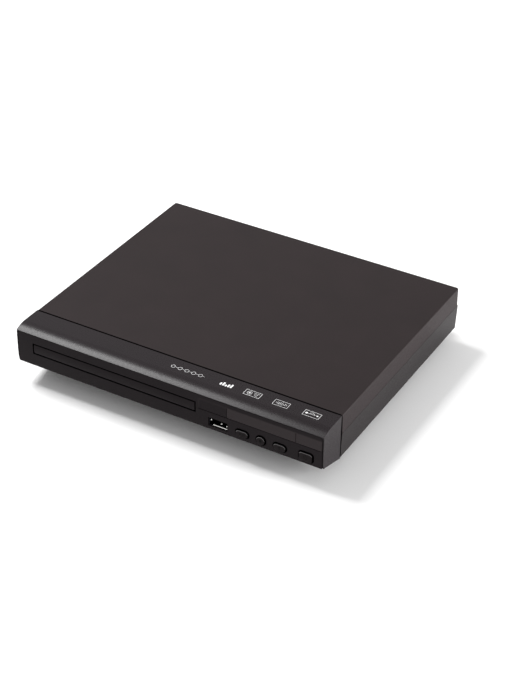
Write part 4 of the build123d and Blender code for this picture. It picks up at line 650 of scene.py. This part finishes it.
def makeUsbStrips(low, high, base):
    # the strips of sheet that carry the dimples, in the dark steel that stands for shade inside the socket
    wall = usbParts["wall"] * mm
    leftHalf, rightHalf, thick = (v * mm for v in usbParts["sideStrip"])
    floorHalf, floorDeep = (v * mm for v in usbParts["floorStrip"])
    form = bmesh.new()
    for share, inward, rise, _ in usbParts["dimples"]:
        x, y, z = low.x + share * (high.x - low.x), low.y + inward * mm, base + rise * mm
        if share < usbParts["shares"][0]:
            addBlock(form, (low.x + wall, y, z - leftHalf), (x, y + thick, z + leftHalf))
        elif share < usbParts["shares"][1]:
            addBlock(form, (x - floorHalf, y, low.z + wall), (x + floorHalf, y + floorDeep, z))
        else:
            addBlock(form, (x, y, z - rightHalf), (high.x - wall, y + thick, z + rightHalf))
    finishPiece("usbSpringStrips", form, "socketSteelPaintedShade", "housing", False)


def makeUsbParts():
    # the sheet metal of the socket, and the contacts under its tongue
    low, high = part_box("usb_socket")
    base = low.z + usbParts["lipRise"] * mm
    makeUsbSprings(low, high, base)
    makeUsbStrips(low, high, base)
    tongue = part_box("usb_tongue")[0]
    half = usbParts["contactWide"] * mm / 2
    near, far = (tongue.y + v * mm for v in usbParts["contactDepths"])
    bottom, top = (tongue.z - v * mm for v in usbParts["contactDrops"])
    form = bmesh.new()
    last = usbParts["contacts"] - 1
    for number in range(last + 1):
        x = (low.x + high.x) / 2 + (number - last / 2) * usbParts["contactPitch"] * mm
        addBlock(form, (x - half, near, bottom), (x + half, far, top))
    finishPiece("usbContacts", form, "nickelPlatedSteel", "housing", False)


# millimetres
gapShadeParts = {
    "slotGap": 0.9,  # from the door to the rim of its slot
    "shadeSheet": 0.15,
    "mouthDepths": (0.1, 3.2),  # the dark sheets start and end this far behind the face
    "doorDepths": (0.1, 2.1),
    "doorEdge": 0.3,
    "overlap": 0.05,  # the door's dark sheet reaches this far into the door
    "seamDeep": 22.35,  # from the front of the fascia to the dark strip
    "seamWide": 0.7,
    "seamDrop": 0.05,  # the dark strip lies this far below the surface
    "seamThick": 1.4,
    "seamFoot": 1.2,
    "seamLip": 0.24,  # the thin lip reaches this far past the dark strip, and twice as far over the fascia's ends
    "lipRise": 0.012,
    "lipFoot": 1.5,
}


def makeTrayGapShade():
    # near-black sheets round the tray's mouth and on the door: painted shade that darkens the gap round the
    # door
    low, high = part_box("tray_door")
    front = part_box("front_panel")[0].y
    gap, shadeSheet = gapShadeParts["slotGap"] * mm, gapShadeParts["shadeSheet"] * mm
    left, right, bottom, top = low.x - gap, high.x + gap, low.z - gap, high.z + gap
    near, far = (front + v * mm for v in gapShadeParts["mouthDepths"])
    form = bmesh.new()
    addBlock(form, (left, near, bottom), (right, far, bottom + shadeSheet))
    addBlock(form, (left, near, top - shadeSheet), (right, far, top))
    addBlock(form, (left, near, bottom), (left + shadeSheet, far, top))
    addBlock(form, (right - shadeSheet, near, bottom), (right, far, top))
    finishPiece("mouthGapShade", form, "paintedGapShade", "housing", False)
    near, far = (low.y + v * mm for v in gapShadeParts["doorDepths"])
    edge, overlap = gapShadeParts["doorEdge"] * mm, gapShadeParts["overlap"] * mm
    form = bmesh.new()
    addBlock(form, (low.x + edge, near, high.z - overlap), (high.x - edge, far, high.z + shadeSheet))
    addBlock(form, (low.x - shadeSheet, near, low.z + edge), (low.x + overlap, far, high.z - edge))
    addBlock(form, (high.x - overlap, near, low.z + edge), (high.x + shadeSheet, far, high.z - edge))
    finishPiece("doorGapShade", form, "paintedGapShade", "tray", False)


def makeSeamShade():
    # a near-black strip in the seam behind the fascia, with a thin lip over both edges on top and over the
    # fascia's
    # edge at the ends: painted shade, a dark line a little wider than the gap
    low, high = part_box("fascia_shell")
    near = low.y + gapShadeParts["seamDeep"] * mm
    far = near + gapShadeParts["seamWide"] * mm
    drop, lip, rise = (gapShadeParts[k] * mm for k in ("seamDrop", "seamLip", "lipRise"))
    form = bmesh.new()
    addBlock(form, (low.x + drop * 3, near, high.z - gapShadeParts["seamThick"] * mm),
             (high.x - drop * 3, far, high.z - drop))
    addBlock(form, (low.x + mm, near - lip, high.z - 2 * drop), (high.x - mm, far + lip, high.z + rise))
    for side in (low.x, high.x):
        inner = side + math.copysign(drop, -side)
        a, b = sorted((inner, inner - math.copysign(mm, side)))
        addBlock(form, (a, near, low.z + gapShadeParts["seamFoot"] * mm), (b, far, high.z - drop * 4))
        a, b = sorted((inner, side + math.copysign(rise, side)))
        addBlock(form, (a, near - 2 * lip, low.z + gapShadeParts["lipFoot"] * mm), (b, far, high.z - drop * 4))
    finishPiece("seamGapShade", form, "paintedGapShade", "housing", False)


# millimetres: how far the strip runs left of the display window, the line's width, and its start and end
# behind the windows
stripParts = {"trim": 20.1, "line": 0.35, "depths": (0.02, 0.7)}


def makeStripEdge():
    # a thin smoked edge that closes the strip to the panel above and at both ends
    low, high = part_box("display_window")
    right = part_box("ir_window")[1].x
    line = stripParts["line"] * mm
    left = low.x - (stripParts["trim"] + stripParts["line"] / 2) * mm
    near, far = (low.y + v * mm for v in stripParts["depths"])
    form = bmesh.new()
    addBlock(form, (left, near, high.z), (right + line, far, high.z + line))
    addBlock(form, (left, near, low.z), (left + line, far, high.z))
    addBlock(form, (right, near, low.z), (right + line, far, high.z))
    finishPiece("stripEdge", form, "smokedAcrylic", "housing", False)


screwParts = {
    "top": 0.86,  # share of the head's radius that stays flat
    "bevel": 0.35,
    "core": 0.97,  # radii of the thread's root and crest
    "ridge": 1.19,
    "pitch": 0.8,
    "neck": 0.3,  # the thread starts this far under the head
    "tip": 0.9,  # and ends this far from the tip
    "arm": 0.52,  # reach of the cross as a share of the head's radius
    "half": 0.3,
    "deep": 1.1,
    "taper": 0.55,
    "steps": 24,
}


def screwForm(length, headRadius, headHigh):
    # a pan-head screw with a cross recess, its top at the origin and its tip down
    form = bmesh.new()
    core, ridge, pitch = screwParts["core"], screwParts["ridge"], screwParts["pitch"]
    outline = [(headRadius * screwParts["top"], 0), (headRadius, -screwParts["bevel"])]
    outline += [(headRadius, -headHigh), (core, -headHigh)]
    height = -headHigh - screwParts["neck"]
    while height - pitch > screwParts["tip"] - length:
        outline += [(core, height), (ridge, height - pitch / 2)]
        height -= pitch
    outline += [(core, height), (0.0, -length)]
    addTurned(form, outline, screwParts["steps"])
    rim = [edge for edge in form.edges if edge.is_boundary]
    arm, half = headRadius * screwParts["arm"] * mm, screwParts["half"] * mm
    cross = []
    for quarter in range(4):
        turn = Matrix.Rotation(quarter * math.pi / 2, 3, "Z")
        places = ((arm, -half, 0), (arm, half, 0), (half, half, 0))
        cross += [form.verts.new(turn @ Vector(place)) for place in places]
    edges = [form.edges.new((a, b)) for a, b in zip(cross, cross[1:] + cross[:1])]
    bmesh.ops.triangle_fill(form, edges=rim + edges, use_beauty=True)
    made = bmesh.ops.extrude_edge_only(form, edges=edges)["geom"]
    deep = [g for g in made if isinstance(g, bmesh.types.BMVert)]
    bmesh.ops.scale(form, vec=(screwParts["taper"], screwParts["taper"], 1), verts=deep)
    bmesh.ops.translate(form, vec=(0, 0, -screwParts["deep"] * mm), verts=deep)
    bmesh.ops.contextual_create(form, geom=[g for g in made if isinstance(g, bmesh.types.BMEdge)])
    return form


def makeScrews(node, body):
    # a finished screw in place of each plain one of the node, its head where the plain one is widest
    form = bmesh.new()
    for corners in solidCorners(node):
        low, high = cornerBox(corners)
        size = high - low
        way = max(range(3), key=lambda i: size[i])
        if way == 0:  # none lies along X; one that is wider than long stands upright
            way = 2
        across = (way + 1) % 3
        reach = [abs(c[across] - (low[across] + high[across]) / 2) for c in corners]
        wide = [c for c, r in zip(corners, reach) if r > max(reach) * 0.9]
        head = sorted({round(c[way], 7) for c in wide})
        upward = abs(head[-1] - high[way]) < abs(head[0] - low[way])
        top = (low + high) / 2
        top[way] = high[way] if upward else low[way]
        aim = Vector((0, 0, 0))
        aim[way] = 1 if upward else -1
        unit = screwForm(size[way] / mm, max(size[across], size[(way + 2) % 3]) / 2 / mm,
                         (head[-1] - head[0]) / mm)
        addCopy(form, unit, Matrix.Translation(top) @ aim.to_track_quat("Z", "Y").to_matrix().to_4x4())
    piece = finishPiece(node.replace("_s", "S") + "Finished", form, "zincPlatedScrews", body)
    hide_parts(node)


# each point: a share of the radius, millimetres added to it, and a height, from the top where negative
canParts = {
    "sleeve": ((0, 0, 0.02), (1, -0.3, 0.02), (1, 0, 0.3), (1, 0, 0.9), (0.92, 0, 1.3), (1, 0, 1.7),
               (1, 0, -0.5), (1, -0.15, -0.15), (0.8, 0, -0.05), (0.78, 0, -0.3), (0, 0, -0.3)),
    "lid": ((0, 0, -0.26), (0.74, 0, -0.26), (0.77, 0, -0.1), (0.7, 0, -0.22), (0, 0, -0.22)),
    "score": (1.1, 0.25, 0.05, -0.2),  # length as a share of the radius, width, thickness and height
    "steps": 32,
}


def makeCapacitors():
    # sleeved cans with a rolled neck, and bare scored tops
    length, wide, thick, rise = canParts["score"]
    cans, tops = bmesh.new(), bmesh.new()
    for corners in solidCorners("capacitors"):
        low, high = cornerBox(corners)
        radius, tall = (high.x - low.x) / 2 / mm, (high.z - low.z) / mm
        place = Matrix.Translation(((low.x + high.x) / 2, (low.y + high.y) / 2, low.z))
        sleeve, lid = ([(radius * share + more, tall + z if z < 0 else z) for share, more, z in canParts[k]]
                       for k in ("sleeve", "lid"))
        unit = bmesh.new()
        addTurned(unit, sleeve, canParts["steps"])
        addCopy(cans, unit, place)
        unit = bmesh.new()
        for turn in (0, math.pi / 2):
            addBar(unit, (0, 0, tall + rise), (radius * length, wide, thick), turn)
        addTurned(unit, lid, canParts["steps"])
        addCopy(tops, unit, place)
    piece = finishPiece("capacitorCans", cans, "capacitorSleeve", "housing")
    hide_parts("capacitors")
    finishPiece("capacitorTops", tops, "extrudedAluminium", "housing")


# millimetres, shares of the radius, and the steps of the rounded edge and of a turn
footParts = {"hollow": 0.5, "hollowShares": (0.5, 0.58), "round": 1.2, "arc": 6, "steps": 40}


def makeFeet():
    # moulded rubber feet with a hollow middle and rounded edge
    form = bmesh.new()
    for corners in solidCorners("rubber_feet"):
        low, high = cornerBox(corners)
        radius, tall = (high.x - low.x) / 2 / mm, (high.z - low.z) / mm
        hollow, corner = footParts["hollow"], footParts["round"]
        floorShare, rimShare = footParts["hollowShares"]
        outline = [(0, hollow), (radius * floorShare, hollow), (radius * rimShare, 0.0)]
        for step in range(footParts["arc"] + 1):
            turn = step * math.pi / 2 / footParts["arc"]
            outline.append((radius - corner + corner * math.sin(turn), corner - corner * math.cos(turn)))
        outline += [(radius, tall), (0, tall)]
        unit = bmesh.new()
        addTurned(unit, outline, footParts["steps"])
        addCopy(form, unit, Matrix.Translation(((low.x + high.x) / 2, (low.y + high.y) / 2, low.z)))
    piece = finishPiece("feetFinished", form, "footRubber", "housing")
    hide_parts("rubber_feet")


# millimetres; the tube is narrower by the grip between its collar and its end
sleeveParts = {
    "inner": 3.3,
    "lip": 0.3,
    "collar": 0.5,
    "slope": 0.15,
    "grip": 0.12,
    "end": (1.4, 1.2),  # from the end of the tube back to both ends of its second slope
    "steps": 48,
}


def makeSleeves():
    # plated tubes of the round jacks, turned with a bright rolled end
    inner, lip, collar, grip = (sleeveParts[k] for k in ("inner", "lip", "collar", "grip"))
    gripEnd, endStart = sleeveParts["end"]
    form = bmesh.new()
    for corners in solidCorners("rca_sleeves"):
        low, high = cornerBox(corners)
        radius, long = (high.x - low.x) / 2 / mm, (high.y - low.y) / mm
        outline = [(inner, 0), (radius, 0), (radius, collar), (radius - grip, collar + sleeveParts["slope"])]
        outline += [(radius - grip, long - gripEnd), (radius, long - endStart), (radius, long - lip)]
        outline += [(radius - lip, long), (inner + lip / 2, long), (inner, long - lip / 2), (inner, 0)]
        unit = bmesh.new()
        addTurned(unit, outline, sleeveParts["steps"])
        place = Matrix.Translation(((low.x + high.x) / 2, low.y, (low.z + high.z) / 2))
        addCopy(form, unit, place @ Matrix.Rotation(math.radians(-90), 4, "X"))
    piece = finishPiece("jackSleeves", form, "nickelPlatedSteel", "housing")
    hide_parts("rca_sleeves")


# millimetres: length, width and height of each kind of part
boardParts = {
    "count": 150,
    "tries": 4000,
    "seed": 7,
    "sizes": ((1.6, 0.8, 0.5), (2.0, 1.25, 0.6), (3.2, 1.6, 0.7)),
    "margin": 1.0,
    "clear": 0.6,  # kept free round each part
    "endShare": 0.34,  # the solder starts at this share of the length from the middle
    "endPast": 0.08,  # and reaches this far past the end and past the sides, at this share of the height
    "endWide": 0.05,
    "endTall": 1.05,
    # nodes that stand on the board or pass close over it
    "keepOff": ("main_chips", "capacitors", "board_connectors", "rca_jack_yellow", "rca_jack_white",
                "rca_jack_red", "hdmi_socket", "soc_heatsink", "chassis_screws", "front_ribbon",
                "mechanism_ribbon", "power_cable"),
}


def addPartEnds(form, x, y, z, long, wide, tall):
    # the two soldered ends of a small part in metres, along its longer side
    past, more = boardParts["endPast"] * mm, boardParts["endWide"] * mm
    top = z + tall * boardParts["endTall"]
    for side in (-1, 1):
        if long > wide:
            a, b = sorted((x + side * long * boardParts["endShare"], x + side * (long / 2 + past)))
            addBlock(form, (a, y - wide / 2 - more, z), (b, y + wide / 2 + more, top))
        else:
            a, b = sorted((y + side * wide * boardParts["endShare"], y + side * (wide / 2 + past)))
            addBlock(form, (x - long / 2 - more, a, z), (x + long / 2 + more, b, top))


def makeBoardParts():
    # small chip parts with bright soldered ends, at random places of a 1 mm grid, kept off the larger parts
    low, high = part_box("main_board")
    taken = [cornerBox(corners) for node in boardParts["keepOff"] for corners in solidCorners(node)]
    margin, z = boardParts["margin"] * mm, high.z
    chance = random.Random(boardParts["seed"])
    bodies, ends = bmesh.new(), bmesh.new()
    placed = tries = 0
    while placed < boardParts["count"] and tries < boardParts["tries"]:
        tries += 1
        long, wide, tall = (v * mm for v in chance.choice(boardParts["sizes"]))
        if chance.random() < 0.5:
            long, wide = wide, long
        x = low.x + margin + round(chance.uniform(0, high.x - low.x - 2 * margin) / mm) * mm
        y = low.y + margin + round(chance.uniform(0, high.y - low.y - 2 * margin) / mm) * mm
        reach = max(long, wide) / 2 + boardParts["clear"] * mm
        if x - reach < low.x or x + reach > high.x or y - reach < low.y or y + reach > high.y:
            continue
        if any(a.x - reach < x < b.x + reach and a.y - reach < y < b.y + reach for a, b in taken):
            continue
        addBlock(bodies, (x - long / 2, y - wide / 2, z), (x + long / 2, y + wide / 2, z + tall))
        addPartEnds(ends, x, y, z, long, wide, tall)
        taken.append((Vector((x - reach, y - reach, 0)), Vector((x + reach, y + reach, 0))))
        placed += 1
    finishPiece("chipParts", bodies, "chipResin", "housing", False)
    finishPiece("chipPartEnds", ends, "nickelPlatedSteel", "housing", False)


# millimetres; a corner stays free of pins at both ends of a side, and a chip narrower than the least has none
# along it
pinParts = {"pitch": 0.8, "length": 0.9, "half": 0.18, "thick": 0.25, "corner": 0.6, "least": 3.0}


def makeChipPins():
    # flat pins on the board along the sides of each chip
    form = bmesh.new()
    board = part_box("main_board")[1].z
    pitch, length, half, thick = (pinParts[k] * mm for k in ("pitch", "length", "half", "thick"))
    for corners in solidCorners("main_chips"):
        low, high = cornerBox(corners)
        for way in (0, 1):
            if high[1 - way] - low[1 - way] < pinParts["least"] * mm:
                continue
            count = int((high[way] - low[way] - 2 * pinParts["corner"] * mm) / pitch)
            for number in range(count + 1):
                along = (low[way] + high[way]) / 2 + (number - count / 2) * pitch
                for side in (0, 1):
                    edge = (low, high)[side][1 - way]
                    a, b = Vector((0, 0, board)), Vector((0, 0, board + thick))
                    a[way], b[way] = along - half, along + half
                    a[1 - way], b[1 - way] = sorted((edge, edge + (2 * side - 1) * length))
                    addBlock(form, a, b)
    finishPiece("chipPins", form, "nickelPlatedSteel", "housing", False)


# millimetres: size of each magnet, its place to either side, how deep it sits and how high it stands
pickupParts = {"wide": 2.0, "deep": 7.0, "spread": 5.4, "sink": 0.2, "stand": 0.7}


def makePickupParts():
    # the two magnets of the lens actuator
    low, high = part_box("objective_lens")
    middle = (low + high) / 2
    base = min(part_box("pickup_sled")[1].z, low.z)
    halfWide, halfDeep = pickupParts["wide"] / 2 * mm, pickupParts["deep"] / 2 * mm
    form = bmesh.new()
    for side in (-1, 1):
        x = middle.x + side * pickupParts["spread"] * mm
        addBlock(form, (x - halfWide, middle.y - halfDeep, base - pickupParts["sink"] * mm),
                 (x + halfWide, middle.y + halfDeep, base + pickupParts["stand"] * mm))
    finishPiece("lensMagnets", form, "motorCanSteel", "sled", False)


dressNodes(mouldedPlastic, plastics)
dressNodes(brushedMetal, metals)
dressNodes(boardLacquer, boards)
dressNodes(softRubber, rubbers)
dressNodes(lensGlass, lenses)
print("finishes made:", len(finishes))
makeWorld()
for lampName, lampInfo in studio["lamps"].items():
    addLamp(lampName + "Lamp", lampInfo)
makeCamera()
makeFloor()
print("studio made")
makeFasciaMarks()
makeButtons()
makeButtonSigns()
makeUsbParts()
makeTrayGapShade()
makeSeamShade()
makeStripEdge()
# the gap shades are painted shade in the door gap and the fascia seam
print("marks, buttons, socket metal and gapShades made")
makeScrews("case_screws", "housing")
makeScrews("chassis_screws", "housing")
makeScrews("holder_screws", "traverse")
makeCapacitors()
makeFeet()
makeSleeves()
print("screws, cans and feet made")
makeBoardParts()
makeChipPins()
makePickupParts()
print("small board parts made")

scene = bpy.context.scene
scene.view_settings.view_transform = "Standard"
